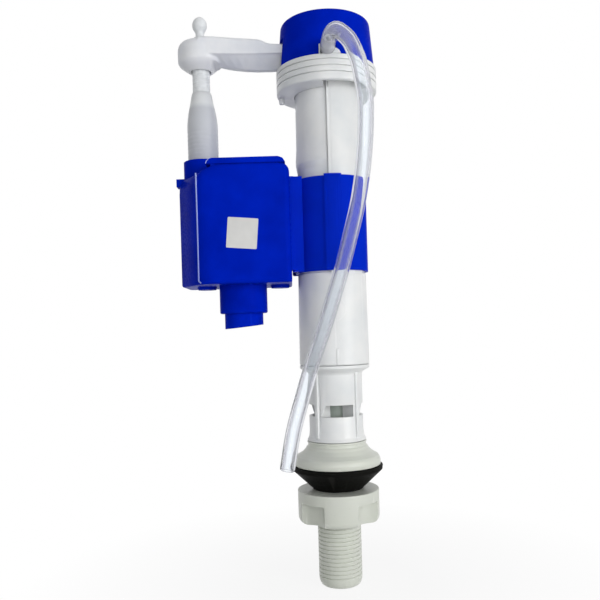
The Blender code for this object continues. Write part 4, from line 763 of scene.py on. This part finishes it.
class FILLVALVE_OT_refill_hose(bpy.types.Operator):
    """Make the hanging clear refill hose"""
    bl_idname = "fillvalve.refill_hose"
    bl_label = "Refill hose"

    def execute(self, context):
        sizes = context.scene.fill_valve_sizes
        points, length = hose_points(HOSE_STEP * MM)
        hose = tube("clear_refill_hose", points, sizes.hose_radius, sizes.hose_radius - sizes.hose_wall)
        settle(hose, "hose_pvc", "riser", "refill_hose")
        return {"FINISHED"}


class FILLVALVE_OT_inlet_shank(bpy.types.Operator):
    """Make the threaded shank with its flange and bell"""
    bl_idname = "fillvalve.inlet_shank"
    bl_label = "Threaded shank and bell"

    def execute(self, context):
        sizes = context.scene.fill_valve_sizes
        outer = [(12.8, 23.2), (14.3, 23.2, 0.3), (14.4, 22.6, 0.2), (14.0, 22.1, 0.3), (14.1, 20.9, 0.5),
                 (14.8, 20.4, 0.6), (15.3, 19.4, 1.5), (17.1, 17.6, 1.5), (19.3, 16.2, 0.4),
                 (19.7, 16.1, 0.3), (20.5, 15.0, 1.0), (20.9, 13.6, 1.0), (20.9, 11.5, 0.4), (10.48, 11.5)]
        shank = soften(outer, 0.25)[:-4] + [(10.48, 11.5)]
        bottom, top = SHANK_ROWS
        count = round((top - bottom) / (sizes.thread_pitch / MM) * ROWS_A_TURN)
        shank += [(10.48, top - (top - bottom) * step / count) for step in range(count + 1)]
        shank += [(10.35, -43.9), (10.0, -45.0), (9.5, -45.9), (8.9, -46.4), (8.3, -46.6), (7.6, -46.6),
                  (7.2, -46.2), (7.2, 7.1), (3.4, 7.0), (3.4, 9.5), (6.9, 9.5), (6.9, 16.4), (12.8, 16.4)]
        piece = revolve("threaded_inlet_shank", shank, 128)
        low, high = SHANK_THREAD
        run_tree(piece, thread_tree(), Pitch=sizes.thread_pitch, Depth=sizes.thread_depth, Low=low * MM,
                 High=high * MM, Axis_X=0.0, Least_radius=10.4 * MM, Finish=finishes["shank_acetal"])
        settle(piece, "shank_acetal", "base", "base_shank", degrees=50.0)
        gasket = soften([(10.9, 11.2), (21.8, 11.2, 0.3), (22.0, 10.6, 0.3), (21.5, 10.2, 0.2),
                         (21.8, 9.8, 0.3), (21.7, 9.2, 0.4), (12.7, 0.6, 0.5), (12.1, 0.0, 0.2),
                         (10.9, 0.0)], 0.2)
        settle(revolve("rubber_cone_gasket", gasket, 128), "ring_rubber", "base", "cone_gasket")
        return {"FINISHED"}


class FILLVALVE_OT_lock_nut(bpy.types.Operator):
    """Make the lugged lock nut"""
    bl_idname = "fillvalve.lock_nut"
    bl_label = "Lock nut"

    def execute(self, context):
        profile = soften([(10.9, -0.3, 0.5), (19.7, -0.3, 0.5), (19.7, -15.9, 3.4), (10.9, -15.9, 0.3)],
                         0.3, 6)
        nut = revolve("lugged_lock_nut", profile, 96)
        for index in range(4):
            angle = math.radians(90.0 * (index + 0.5) + 1.0)
            centre = (22.4 * math.sin(angle), -22.4 * math.cos(angle))
            outline = soften([(0.0, -5.3), (8.3, -5.3, 1.4), (8.3, -30.0), (0.0, -30.0)], 0.0, 5,
                             closed=False)
            cut(nut, revolve("hollow", outline, 64, centre, closed=False))
        round_edges(nut, 0.45, 3, 45.0)
        settle(nut, "shank_acetal", "nut", "lock_nut")
        return {"FINISHED"}


class FILLVALVE_OT_outlet_column(bpy.types.Operator):
    """Make the outlet column with its windows, fins, lip and spigot"""
    bl_idname = "fillvalve.outlet_column"
    bl_label = "Outlet column"

    def execute(self, context):
        sizes = context.scene.fill_valve_sizes
        profile = soften([(12.9, 112.3), (14.1, 112.3, 0.2), (14.5, 111.6, 0.3), (14.5, 59.8, 0.2),
                          (16.9, 59.7, 0.3), (16.9, 58.3, 0.5), (13.6, 56.3, 0.5), (13.05, 55.3, 0.8),
                          (13.05, 28.5, 4.0), (13.4, 25.3, 2.0), (14.2, 23.9, 0.3), (14.2, 23.5, 0.2),
                          (12.4, 23.5), (12.4, 16.8), (4.7, 16.8), (4.7, 18.6), (11.25, 18.6),
                          (11.25, 56.3), (12.9, 60.4)], 0.2)
        column = revolve("outlet_column", profile, 96)
        for index in range(4):
            window = prism("window", [(-7.8, 35.4), (7.6, 35.4), (7.6, 41.0), (-5.2, 41.0)], -19.0, -4.0,
                           upright=True)
            window.data.transform(Matrix.Rotation(math.radians(90.0 * index), 4, "Z"))
            cut(column, window)
        round_edges(column, 0.12, 2, 50.0)
        settle(column, "riser_polypropylene", "base", "outlet_cage")
        self.add_fins(sizes.fin_count)
        return {"FINISHED"}

    def add_fins(self, count):
        """Upright fins with round lower ends, and behind each the rib that holds the inner tube."""
        outline = soften([(11.8, 24.4), (13.4, 24.6, 0.8), (13.95, 26.0, 0.8), (13.95, 55.0, 0.6),
                          (13.5, 56.4, 0.3), (11.8, 56.6)], 0.2)
        fin = prism("column_fins", outline, -0.95, 0.95, upright=True)
        round_edges(fin, 0.3, 2, 50.0)
        outline = [(4.6, 26.0), (11.6, 26.0), (11.6, 50.0), (4.6, 50.0)]
        rib = prism("tube_ribs", outline, -0.5, 0.5, upright=True)
        for piece in (fin, rib):
            run_tree(piece, around_tree(), Count=count, Start=math.radians(45.0),
                     Finish=finishes["riser_polypropylene"])
            settle(piece, "riser_polypropylene", "base")


class FILLVALVE_OT_riser(bpy.types.Operator):
    """Make the riser sleeve with its rail, bead and mould marks"""
    bl_idname = "fillvalve.riser"
    bl_label = "Riser sleeve"

    def execute(self, context):
        profile = soften([(13.4, 192.7), (15.1, 192.7, 0.2), (15.4, 192.2, 0.2), (15.4, 187.8),
                          (15.55, 164.5, 8.0), (15.95, 159.0, 3.0), (15.9, 156.2, 3.0), (15.3, 153.0, 3.0),
                          (15.1, 149.0, 0.3),
                          (15.9, 148.0, 0.3), (15.9, 103.7, 0.2), (16.4, 103.3, 0.2), (16.9, 60.4, 0.3),
                          (16.6, 60.0), (14.8, 60.0), (14.8, 118.3), (13.4, 121.3)], 0.2, 6)
        sleeve = revolve("riser_tube", profile, 128)
        merge(sleeve, prism("rail", sector(14.95, 16.9, -3.2, RAIL[1]), 102.7, 118.0))
        merge(sleeve, prism("rail", sector(14.0, 16.9, -3.2, RAIL[1]), 117.7, 192.6))
        cut(sleeve, prism("rail_seam", sector(14.7, 20.0, -5.0, -3.2, 2), 149.0, 193.0))
        slit = [(-0.35, -18.0), (0.15, -18.0), (0.15, -15.6), (-0.35, -15.6)]
        cut(sleeve, prism("rail_slit", slit, 189.2, 192.0))
        cut(sleeve, prism("rail_lip", sector(16.72, 20.0, 1.7, 2.6, 2), 149.0, 193.0))
        cut(sleeve, self.seam_cutter())
        round_edges(sleeve, 0.18, 2, 50.0)
        settle(sleeve, "riser_polypropylene", "riser", "riser_sleeve")
        self.add_marks()
        return {"FINISHED"}

    def seam_cutter(self):
        """The short moulded slit above the lower rim."""
        outline = [(0.0, 59.5), (0.45, 59.5), (0.45, 67.6), (1.5, 67.6), (1.5, 68.0), (0.0, 68.0)]
        return prism("slit", outline, -17.6, -16.35, upright=True)

    def add_marks(self):
        """A faint ejector ring and a pip on the front of the sleeve."""
        def on_sleeve(x, z):
            radius = 16.4 + (103.3 - z) * 0.0117
            return Vector((x, -math.sqrt(radius * radius - x * x) + 0.05, z)) * MM

        ring = []
        for step in range(48):
            angle = math.radians(step * 7.5)
            ring.append(on_sleeve(-0.6 + 5.7 * math.cos(angle), 86.3 + 5.7 * math.sin(angle)))
        mark = tube("ejector_ring", ring + ring[:1], 0.13 * MM, 0.04 * MM, 8)
        settle(mark, "riser_polypropylene", "riser")
        pip = rod("gate_pip", 0.45, (2.3, -16.3, 71.6), (2.3, -16.95, 71.6), 16, 0.3)
        settle(pip, "riser_polypropylene", "riser")


class FILLVALVE_OT_head(bpy.types.Operator):
    """Make the grooved head with its dished underside and ears"""
    bl_idname = "fillvalve.head"
    bl_label = "Grooved head"

    def execute(self, context):
        profile = [(15.5, HEAD_TOP), (24.0, HEAD_TOP, 0.2), (24.2, HEAD_TOP - 0.4, 0.2)]
        for index in range(3):
            middle = HEAD_TOP - 2.4 - 2.8 * index
            profile += [(24.2, middle + 0.30, 0.1), (23.3, middle + 0.22, 0.05), (23.3, middle - 0.22, 0.05),
                        (24.2, middle - 0.30, 0.1)]
        profile += [(24.2, 190.5, 1.4), (22.5, 190.1, 1.0), (16.2, 189.7, 0.3), (15.7, 189.7), (15.7, 193.0),
                    (8.8, 193.0), (8.8, 187.0), (7.1, 187.0), (7.1, 193.0),
                    (4.2, 193.0), (4.2, 196.7), (5.5, 196.7), (5.5, 195.5), (13.4, 195.5), (13.4, 199.1),
                    (15.5, 199.1)]
        head = revolve("grooved_head", soften(profile, 0.15, 5), 128)
        for side in (-1.0, 1.0):
            outline = soften([(-19.0, HEAD_TOP - 0.6), (-14.0, HEAD_TOP - 0.6), (-14.0, PIVOT[1] + 2.5, 2.4),
                              (-19.0, PIVOT[1] + 2.5, 2.4)], 0.0, 6)
            near, far = sorted((side * 6.3, side * 8.3))
            merge(head, prism("ear", outline, near, far, upright=True))
        cut(head, rod("pin_holes", 1.8, (PIVOT[0], -12.0, PIVOT[1]), (PIVOT[0], 12.0, PIVOT[1])))
        cut(head, rod("cradle", 3.6, (0.0, -16.5, NIPPLE), (0.0, -30.0, NIPPLE), 48))
        cut(head, prism("rail_pocket", sector(15.0, 22.8, RAIL[0] - 1.0, RAIL[1] + 2.0), 188.0, 192.8))
        merge(head, rod("nub", 1.6, (-21.9, 2.0, 191.0), (-21.9, 2.0, 187.7), 20, 1.2))
        round_edges(head, 0.15, 2, 50.0)
        settle(head, "riser_polypropylene", "riser", "head_body")
        return {"FINISHED"}


class FILLVALVE_OT_cap(bpy.types.Operator):
    """Make the blue cap with its lever slot and hose notch"""
    bl_idname = "fillvalve.cap"
    bl_label = "Blue cap"

    def execute(self, context):
        profile = soften([(0.0, 224.4), (15.0, 224.3), (21.5, 223.9, 2.2), (23.3, CAP_LOW, 0.3),
                          (21.7, CAP_LOW, 0.2), (20.0, 222.1, 2.0), (0.0, 222.4)], 0.2, 6, closed=False)
        cap = revolve("blue_cap", profile, 128, closed=False)
        outline = soften([(-8.7, 198.0), (8.7, 198.0), (8.7, 216.0, 1.0), (-8.7, 216.0, 1.0)], 0.0)
        slot = prism("slot", outline, -28.0, -11.0, upright=True)
        slot.data.transform(Matrix.Rotation(math.radians(-90.0), 4, "Z"))
        cut(cap, slot)
        arch = []
        for step in range(21):
            angle = math.radians(step * 9.0)
            arch.append((4.1 * math.cos(angle), NIPPLE + 4.1 * math.sin(angle)))
        cut(cap, prism("notch", [(4.1, 198.0)] + arch + [(-4.1, 198.0)], -28.0, -11.0, upright=True))
        round_edges(cap, 0.25, 3, 50.0)
        settle(cap, "blue_abs", "cap", "cap")
        return {"FINISHED"}


class FILLVALVE_OT_nipple(bpy.types.Operator):
    """Make the refill nipple with its barbs and gussets"""
    bl_idname = "fillvalve.nipple"
    bl_label = "Refill nipple"

    def execute(self, context):
        nipple = rod("refill_outlet", 3.4, (0.0, -16.8, NIPPLE), (0.0, -23.3, NIPPLE), 48)
        merge(nipple, rod("root", 2.6, (0.0, -23.0, NIPPLE), (0.0, -27.6, NIPPLE), 48))
        merge(nipple, rod("tip", 2.3, (0.0, -27.0, NIPPLE), (0.0, -33.0, NIPPLE), 32, 1.9))
        gusset = soften([(1.2, 202.1), (5.9, 202.1, 0.2), (5.2, 203.4, 0.8), (3.8, 204.4, 0.8),
                         (1.2, 203.9)], 0.0)
        merge(nipple, prism("gusset", gusset, -24.0, -22.6, upright=True))
        stop = [(-4.0, 201.0), (-3.5, 201.0), (-3.5, 206.6), (-4.0, 206.4)]
        merge(nipple, prism("stop", stop, -23.7, -22.0, upright=True))
        cut(nipple, rod("bore", 1.1, (0.0, -18.0, NIPPLE), (0.0, -36.0, NIPPLE), 24))
        round_edges(nipple, 0.15, 2, 45.0)
        cuff = [Vector((0.0, -19.5 - step, NIPPLE - 0.035 * step)) * MM for step in range(9)]
        settle(tube("hose_cuff", cuff, 3.5 * MM, 2.7 * MM), "hose_pvc", "riser")
        settle(nipple, "riser_polypropylene", "riser", "refill_nipple")
        return {"FINISHED"}


class FILLVALVE_OT_lever(bpy.types.Operator):
    """Make the milky lever with its boss, web and pad cup"""
    bl_idname = "fillvalve.lever"
    bl_label = "Lever"

    def execute(self, context):
        top = LEVER_TOP
        boss = soften([(0.0, top), (10.9, top, 5.0), (10.9, 207.6, 2.6), (9.3, 206.0, 1.0),
                       (5.7, 203.5, 0.5), (0.0, 203.5)], 0.2, 8, closed=False)
        lever = revolve("lever_beam", boss, 96, (ROD_X, 0.0), closed=False)
        relief = [(-55.2, 200.0), (-55.0, 205.0), (-54.2, 206.8), (-50.0, 206.6), (-47.0, 206.0),
                  (-47.0, 200.0)]
        cut(lever, prism("relief", relief, -12.0, 12.0, upright=True))
        merge(lever, self.beam())
        merge(lever, self.web())
        hollow = [(0.0, PLATE), (9.3, PLATE), (9.3, 209.6), (6.4, 208.2), (4.8, 205.6), (4.8, 200.0),
                  (0.0, 200.0)]
        cut(lever, revolve("hollow", hollow, 64, (ROD_X, 0.0), closed=False))
        merge(lever, rod("hub", 3.2, (PIVOT[0], -6.0, PIVOT[1]), (PIVOT[0], 6.0, PIVOT[1])))
        neck = [(-20.3, 209.4), (-16.5, 209.4), (-16.5, 213.4), (-20.3, 213.8)]
        merge(lever, prism("neck", neck, -5.7, 5.7, upright=True))
        low, high = self.pad_place(1.0), self.pad_place(4.8)
        arm = [(-17.1, PIVOT[1] - 1.9), (low[0], low[2] + 0.6), (high[0], high[2] - 0.3),
               (-17.1, PIVOT[1] + 2.9)]
        merge(lever, prism("inner_arm", arm, -3.6, 3.6, upright=True))
        merge(lever, rod("pad_cup", 3.8, low, high))
        cut(lever, rod("pad_pocket", 2.5, self.pad_place(0.0), self.pad_place(2.8)))
        cut(lever, rod("pin_hole", 1.8, (PIVOT[0], -9.0, PIVOT[1]), (PIVOT[0], 9.0, PIVOT[1])))
        slot = soften([(-65.8, -2.5, 2.4), (-55.8, -2.5, 2.4), (-55.8, 2.5, 2.4), (-65.8, 2.5, 2.4)], 0.0, 6)
        cut(lever, prism("screw_slot", slot, 212.0, 220.0))
        melt(lever, LEVER_VOXEL, LEVER_ROUNDS)
        settle(lever, "milky_nylon", "lever", "lever_arm", degrees=60.0)
        return {"FINISHED"}

    def beam(self):
        """The upper bar, which leaves the boss in a smooth taper and steps down before the cap."""
        rings = []
        stations = ((-60.8, 10.7, 217.5), (-57.5, 10.3, 217.7), (-54.0, 9.9, 217.7), (-48.0, 9.2, 217.4),
                    (-42.6, 8.6, 217.1), (-37.0, 8.2, 216.8), (-32.6, 8.0, 216.5), (-31.0, 8.0, 216.1),
                    (-29.6, 8.0, 215.4), (-28.4, 8.0, 214.7), (-26.5, 8.0, 214.2), (-19.7, 8.0, 213.8))
        for x, half, high in stations:
            rings.append([(x, -half, 209.1), (x, -half, high - 1.2), (x, -half + 1.2, high),
                          (x, half - 1.2, high), (x, half, high - 1.2), (x, half, 209.1)])
        return loft("beam", rings)

    def web(self):
        """The keel under the bar, whose two sides slope in to its lower edge."""
        rings = []
        stations = ((-60.8, 9.6, 208.0), (-54.6, 8.9, 207.2), (-52.5, 8.6, 206.6), (-50.9, 8.4, 205.9),
                    (-47.0, 8.0, 204.9), (-43.0, 7.7, 204.2), (-39.3, 7.4, 203.7), (-34.0, 7.2, 203.3),
                    (-28.0, 7.0, 203.2), (-21.6, 6.8, 203.3), (-20.4, 6.6, 206.2), (-19.7, 6.4, 207.2),
                    (-16.2, 3.4, 207.4))
        for x, half, keel in stations:
            rings.append([(x, -half, 210.2), (x, -half, 209.0), (x, -1.6, keel + 0.2), (x, 0.0, keel),
                          (x, 1.6, keel + 0.2), (x, half, 209.0), (x, half, 210.2)])
        return loft("web", rings)

    def pad_place(self, along):
        """A point on the pilot pad's axis while the lever rests open."""
        swing = math.radians(LEVER_OPEN)
        height = HEAD_TOP + NOZZLE + PAD_GAP - PIVOT[1] + along
        return (PIVOT[0] - PIVOT[0] * math.cos(swing) - height * math.sin(swing), 0.0,
                PIVOT[1] - PIVOT[0] * math.sin(swing) + height * math.cos(swing))


class FILLVALVE_OT_screw(bpy.types.Operator):
    """Make the adjusting screw with its knob and thread"""
    bl_idname = "fillvalve.screw"
    bl_label = "Adjusting screw"

    def execute(self, context):
        knob = []
        for step in range(16):
            angle = math.radians(step * 9.0)
            knob.append((3.6 * math.sin(angle) * (1.0 - 0.05 * math.cos(angle)),
                         226.65 + 3.95 * math.cos(angle)))
        profile = knob + soften([(2.1, 222.6), (2.1, 220.2, 0.3), (3.4, 220.2, 0.3), (3.4, 219.0, 0.3),
                                 (2.1, 219.0, 0.2), (2.1, 213.6, 0.3), (4.2, 213.0, 0.3)], 0.2, closed=False)
        end, top = SCREW_END
        profile += [(4.2, top - (top - end) * step / SCREW_ROWS) for step in range(1, SCREW_ROWS + 1)]
        profile += [(3.6, 142.9), (0.0, 142.9)]
        screw = revolve("adjusting_rod", profile, 48, (ROD_X, 0.0), closed=False)
        low, high = SCREW_THREAD
        run_tree(screw, thread_tree(), Pitch=SCREW_PITCH * MM, Depth=SCREW_DEPTH * MM, Low=low * MM,
                 High=high * MM, Axis_X=ROD_X * MM, Least_radius=4.0 * MM,
                 Finish=finishes["stem_polyethylene"])
        settle(screw, "stem_polyethylene", "screw", "adjusting_screw", degrees=50.0)
        return {"FINISHED"}


class FILLVALVE_OT_stem(bpy.types.Operator):
    """Make the flared stem that the screw turns in"""
    bl_idname = "fillvalve.stem"
    bl_label = "Float stem"

    def execute(self, context):
        profile = [(4.4, 193.3), (4.5, 193.3), (4.8, 192.6), (5.05, 191.6), (5.3, 190.0), (5.6, 188.4),
                   (5.95, 186.8), (6.2, 185.7), (6.5, 184.2), (6.75, 182.7), (7.0, 181.0), (7.2, 179.4),
                   (7.35, 177.6), (7.4, 175.5)]
        profile += [(7.4 - 0.08 * (index % 2), 174.5 - index * 1.0) for index in range(0, 34)]
        profile += [(7.4, 136.2), (7.2, 135.6), (5.3, 135.6), (5.3, 122.6)]
        profile = soften(profile, 0.3, closed=False) + [(0.0, 122.6), (0.0, 124.6), (4.5, 124.6)]
        stem = revolve("flared_stem", profile, 64, (ROD_X, 0.0))
        settle(stem, "stem_polyethylene", "float", "float_stem", degrees=50.0)
        return {"FINISHED"}


class FILLVALVE_OT_chamber(bpy.types.Operator):
    """Make the blue float chamber with its spout and feet"""
    bl_idname = "fillvalve.chamber"
    bl_label = "Float chamber"

    def execute(self, context):
        left, right, front, back = CHAMBER
        low, high = CHAMBER_Z
        chamber = self.shell(left, right, front, back, low, high)
        spout = soften([(11.4, 101.0), (11.4, 85.7, 1.6), (9.5, 85.7), (9.5, 101.0)], 0.0, 5)
        merge(chamber, revolve("spout", spout, 72, SPOUT))
        for place in (ROD_X, right - 6.2):
            merge(chamber, rod("foot", 4.3, (place, 0.0, 97.7), (place, 0.0, 99.7), 48, 5.0))
        inner = soften([(left + 12.9, front + 1.5, 8.0), (right - 1.5, front + 1.5, 2.6),
                        (right - 1.5, back - 1.5, 1.5), (left + 1.5, back - 1.5, 3.5),
                        (left + 1.5, front + 19.4, 1.5)], 0.0, 6)
        cut(chamber, prism("hollow", inner, low + 1.7, high + 3.0))
        cut(chamber, rod("drain", 6.2, (*SPOUT, low - 2.0), (*SPOUT, low + 4.0), 48))
        settle(chamber, "blue_abs", "riser", "float_chamber")
        self.add_painted_highlight_lines(left, front)
        return {"FINISHED"}

    def shell(self, left, right, front, back, low, high):
        """The chamber's outside in slices from front to back, soft at its front and rear edges."""
        def rounding(radius, distance):
            short = max(radius - distance, 0.0)
            return radius - math.sqrt(radius * radius - short * short)

        rings = []
        reach = back - front
        for depth in (0.0, 0.06, 0.15, 0.3, 0.5, 0.75, 1.0, 1.35, 1.7, 2.1, 2.5, 3.0, 19.0, reach - 5.0,
                      reach - 3.0, reach - 1.5, reach - 0.5, reach):
            rest = reach - depth
            side = rounding(FRONT_ROUND, depth) + rounding(REAR_ROUND, rest)
            top = rounding(TOP_ROUND, depth) + rounding(REAR_ROUND, rest)
            start = left + max(SLANT[1] - depth, 0.0) * SLANT[0] / SLANT[1]
            start += rounding(FRONT_ROUND, depth) * LEFT_STRETCH + rounding(LEFT_REAR_ROUND, rest)
            side += CHAMBER_DRAFT * depth / reach
            outline = soften([(start, low + top, 1.2), (right - side, low + top, 1.2),
                              (right - side, high - top, 4.5), (start, high - top, 10.0)], 0.0, 8)
            rings.append([(x, front + depth, z) for x, z in outline])
        return loft("blue_chamber", rings)

    def add_painted_highlight_lines(self, left, front):
        """A raised bead along the trimmed edge between the front and the slanted side, and one on the lid's
        left corner, both pale as a painted highlight.
        """
        points = []
        for step in range(41):
            share = step / 40.0
            height = 150.0 - (150.0 - 100.6) * share
            bow = 0.45 * math.sin(math.pi * share)
            points.append(Vector((left + 10.4 + bow * 0.2, front + 2.45, height)) * MM)
        points.append(Vector((left + 11.4, front + 1.6, 99.7)) * MM)
        line = tube("chamber_parting_line", points, 0.36 * MM, 0.1 * MM, 10)
        settle(line, "worn_blue_edge", "riser")
        # The lid's left corner gets the same pale bead, a painted highlight
        points = [Vector(point) * MM for point in ((-57.0, -23.0, 153.9), (-56.6, -23.0, 155.0),
                                                   (-55.7, -22.9, 155.9), (-54.4, -22.7, 156.4))]
        settle(tube("lid_parting_line", points, 0.22 * MM, 0.1 * MM, 8), "worn_blue_edge", "riser")


class FILLVALVE_OT_lid(bpy.types.Operator):
    """Make the chamber's lid with its collar and latch"""
    bl_idname = "fillvalve.lid"
    bl_label = "Chamber lid"

    def execute(self, context):
        outline = soften([(-57.2, 153.8), (-20.9, 153.8), (-22.0, 155.6, 1.5), (-24.2, 156.4, 1.5),
                          (-54.4, 156.4, 1.5), (-56.4, 155.5, 1.5)], 0.0, 6)
        lid = prism("chamber_cover", outline, -23.1, 19.1, upright=True)
        plug = [(-55.0, -22.2), (-24.1, -22.2), (-24.1, 18.2), (-55.0, 18.2)]
        merge(lid, prism("plug", plug, 150.8, 154.4))
        merge(lid, rod("collar", COLLAR, (ROD_X, 0.0, 146.0), (ROD_X, 0.0, 159.5), 64))
        tab = [(ROD_X - COLLAR - 3.5, -3.0), (ROD_X - 9.0, -3.0), (ROD_X - 9.0, 3.0),
               (ROD_X - COLLAR - 3.5, 3.0)]
        merge(lid, prism("tab", tab, 147.8, 151.5))
        cut(lid, rod("bore", 7.9, (ROD_X, 0.0, 140.0), (ROD_X, 0.0, 165.0), 64))
        round_edges(lid, 0.35, 3, 45.0)
        settle(lid, "blue_abs", "riser", "chamber_lid")
        return {"FINISHED"}


class FILLVALVE_OT_clip(bpy.types.Operator):
    """Make the clip that holds the chamber on the riser"""
    bl_idname = "fillvalve.clip"
    bl_label = "Clip"

    def execute(self, context):
        low, high = CLIP_Z
        clip = prism("riser_clip", sector(15.9, 17.6, -149.0, 149.0, 96), low, high - 0.5)
        pad_start = RAIL[0] - PAD_MARGIN
        merge(clip, prism("pad", sector(16.5, 18.6, pad_start, RAIL[1] + PAD_MARGIN), low, high - 0.5))
        for side in (-1.0, 1.0):
            near, far = sorted((side * 10.4, side * 14.0))
            merge(clip, prism("arm", [(-18.8, near), (-13.4, near), (-13.4, far), (-18.8, far)], low, high))
            near, far = sorted((side * 10.5, side * 17.5))
            merge(clip, prism("toe", [(-19.2, near), (-17.4, near), (-17.4, far), (-19.2, far)], low + 0.6,
                              high - 0.6))
        tab = sector(16.5, 18.6, pad_start, pad_start + 25.4, 12)
        merge(clip, prism("tab", tab, high - 0.8, high + 0.1))
        cut(clip, rod("bore", 16.2, (0.0, 0.0, low - 3.0), (0.0, 0.0, high + 6.0), 128))
        rail_way = sector(14.0, 17.2, RAIL[0] - 1.2, RAIL[1] + 1.2)
        cut(clip, prism("rail_way", rail_way, low - 3.0, high + 6.0))
        round_edges(clip, 0.35, 3, 45.0)
        settle(clip, "blue_abs", "riser", "clip_bracket")
        return {"FINISHED"}


class FILLVALVE_OT_spout_insert(bpy.types.Operator):
    """Make the slanted insert in the spout"""
    bl_idname = "fillvalve.spout_insert"
    bl_label = "Spout insert"

    def execute(self, context):
        profile = soften([(8.0, 98.7), (9.2, 98.7, 0.2), (9.2, 78.4, 0.2), (8.0, 78.4, 0.2), (8.0, 91.3),
                          (6.2, 91.3), (6.2, 92.3), (8.0, 92.3)], 0.1)
        insert = revolve("slanted_insert", profile, 72, SPOUT)
        slant = [(SPOUT[0] - 11.2, 74.4), (SPOUT[0] + 11.2, 74.4), (SPOUT[0] + 11.2, 80.4),
                 (SPOUT[0] - 11.2, 78.2)]
        cut(insert, prism("slant", slant, SPOUT[1] - 11.2, SPOUT[1] + 11.2, upright=True))
        round_edges(insert, 0.2, 2, 50.0)
        settle(insert, "blue_abs", "riser", "spout_insert")
        return {"FINISHED"}


class FILLVALVE_OT_label(bpy.types.Operator):
    """Stick a blank paper label on the chamber's face"""
    bl_idname = "fillvalve.label"
    bl_label = "Blank label"

    def execute(self, context):
        sizes = context.scene.fill_valve_sizes
        side = sizes.label_side / MM
        corner = 0.5
        outline = soften([(-side / 2.0, -side / 2.0, corner), (side / 2.0, -side / 2.0, corner),
                          (side / 2.0, side / 2.0, corner), (-side / 2.0, side / 2.0, corner)], 0.0, 3)
        label = prism("blank_label", outline, -0.06, 0.06, upright=True)
        turn = Matrix.Rotation(-sizes.label_tilt, 4, "Y")
        label.data.transform(Matrix.Translation(Vector((-41.2, CHAMBER[2] - 0.05, 121.7)) * MM) @ turn)
        settle(label, "paper_label", "riser")
        return {"FINISHED"}


class FILLVALVE_OT_inner_pieces(bpy.types.Operator):
    """Give the pieces inside the valve their finishes"""
    bl_idname = "fillvalve.inner_pieces"
    bl_label = "Inner pieces"

    def execute(self, context):
        repaint("milky_nylon", "inlet_strainer", "drop_tube", "valve_cover", "float", "check_disc")
        # The inner tube's finish holds painted shade
        repaint("tube_polyethylene", "supply_tube")
        repaint("ring_rubber", "foot_o_ring", "tube_o_ring", "diaphragm", "pilot_seal")
        repaint("riser_polypropylene", "lever_pin")
        return {"FINISHED"}


PIECES = (
    FILLVALVE_OT_finishes, FILLVALVE_OT_stage, FILLVALVE_OT_refill_hose, FILLVALVE_OT_inlet_shank,
    FILLVALVE_OT_lock_nut, FILLVALVE_OT_outlet_column, FILLVALVE_OT_riser, FILLVALVE_OT_head,
    FILLVALVE_OT_cap, FILLVALVE_OT_nipple, FILLVALVE_OT_lever, FILLVALVE_OT_screw, FILLVALVE_OT_stem,
    FILLVALVE_OT_chamber, FILLVALVE_OT_lid, FILLVALVE_OT_clip, FILLVALVE_OT_spout_insert,
    FILLVALVE_OT_label, FILLVALVE_OT_inner_pieces,
)


class FILLVALVE_PT_panel(bpy.types.Panel):
    """Sizes, colours and pieces of the fill valve"""
    bl_idname = "FILLVALVE_PT_panel"
    bl_label = "Fill valve"
    bl_space_type = "VIEW_3D"
    bl_region_type = "UI"
    bl_category = "Fill valve"

    def draw(self, context):
        for group in (context.scene.fill_valve_sizes, context.scene.fill_valve_colours):
            for name in group.__annotations__:
                self.layout.prop(group, name)
        for operator in PIECES:
            self.layout.operator(operator.bl_idname)


def register():
    for item in (FillValveSizes, FillValveColours, *PIECES, FILLVALVE_PT_panel):
        bpy.utils.register_class(item)
    bpy.types.Scene.fill_valve_sizes = PointerProperty(type=FillValveSizes)
    bpy.types.Scene.fill_valve_colours = PointerProperty(type=FillValveColours)


def unregister():
    del bpy.types.Scene.fill_valve_colours
    del bpy.types.Scene.fill_valve_sizes
    for item in reversed((FillValveSizes, FillValveColours, *PIECES, FILLVALVE_PT_panel)):
        bpy.utils.unregister_class(item)


def main():
    register()
    for operator in PIECES:
        group, name = operator.bl_idname.split(".")
        getattr(getattr(bpy.ops, group), name)()


if __name__ == "__main__":
    main()
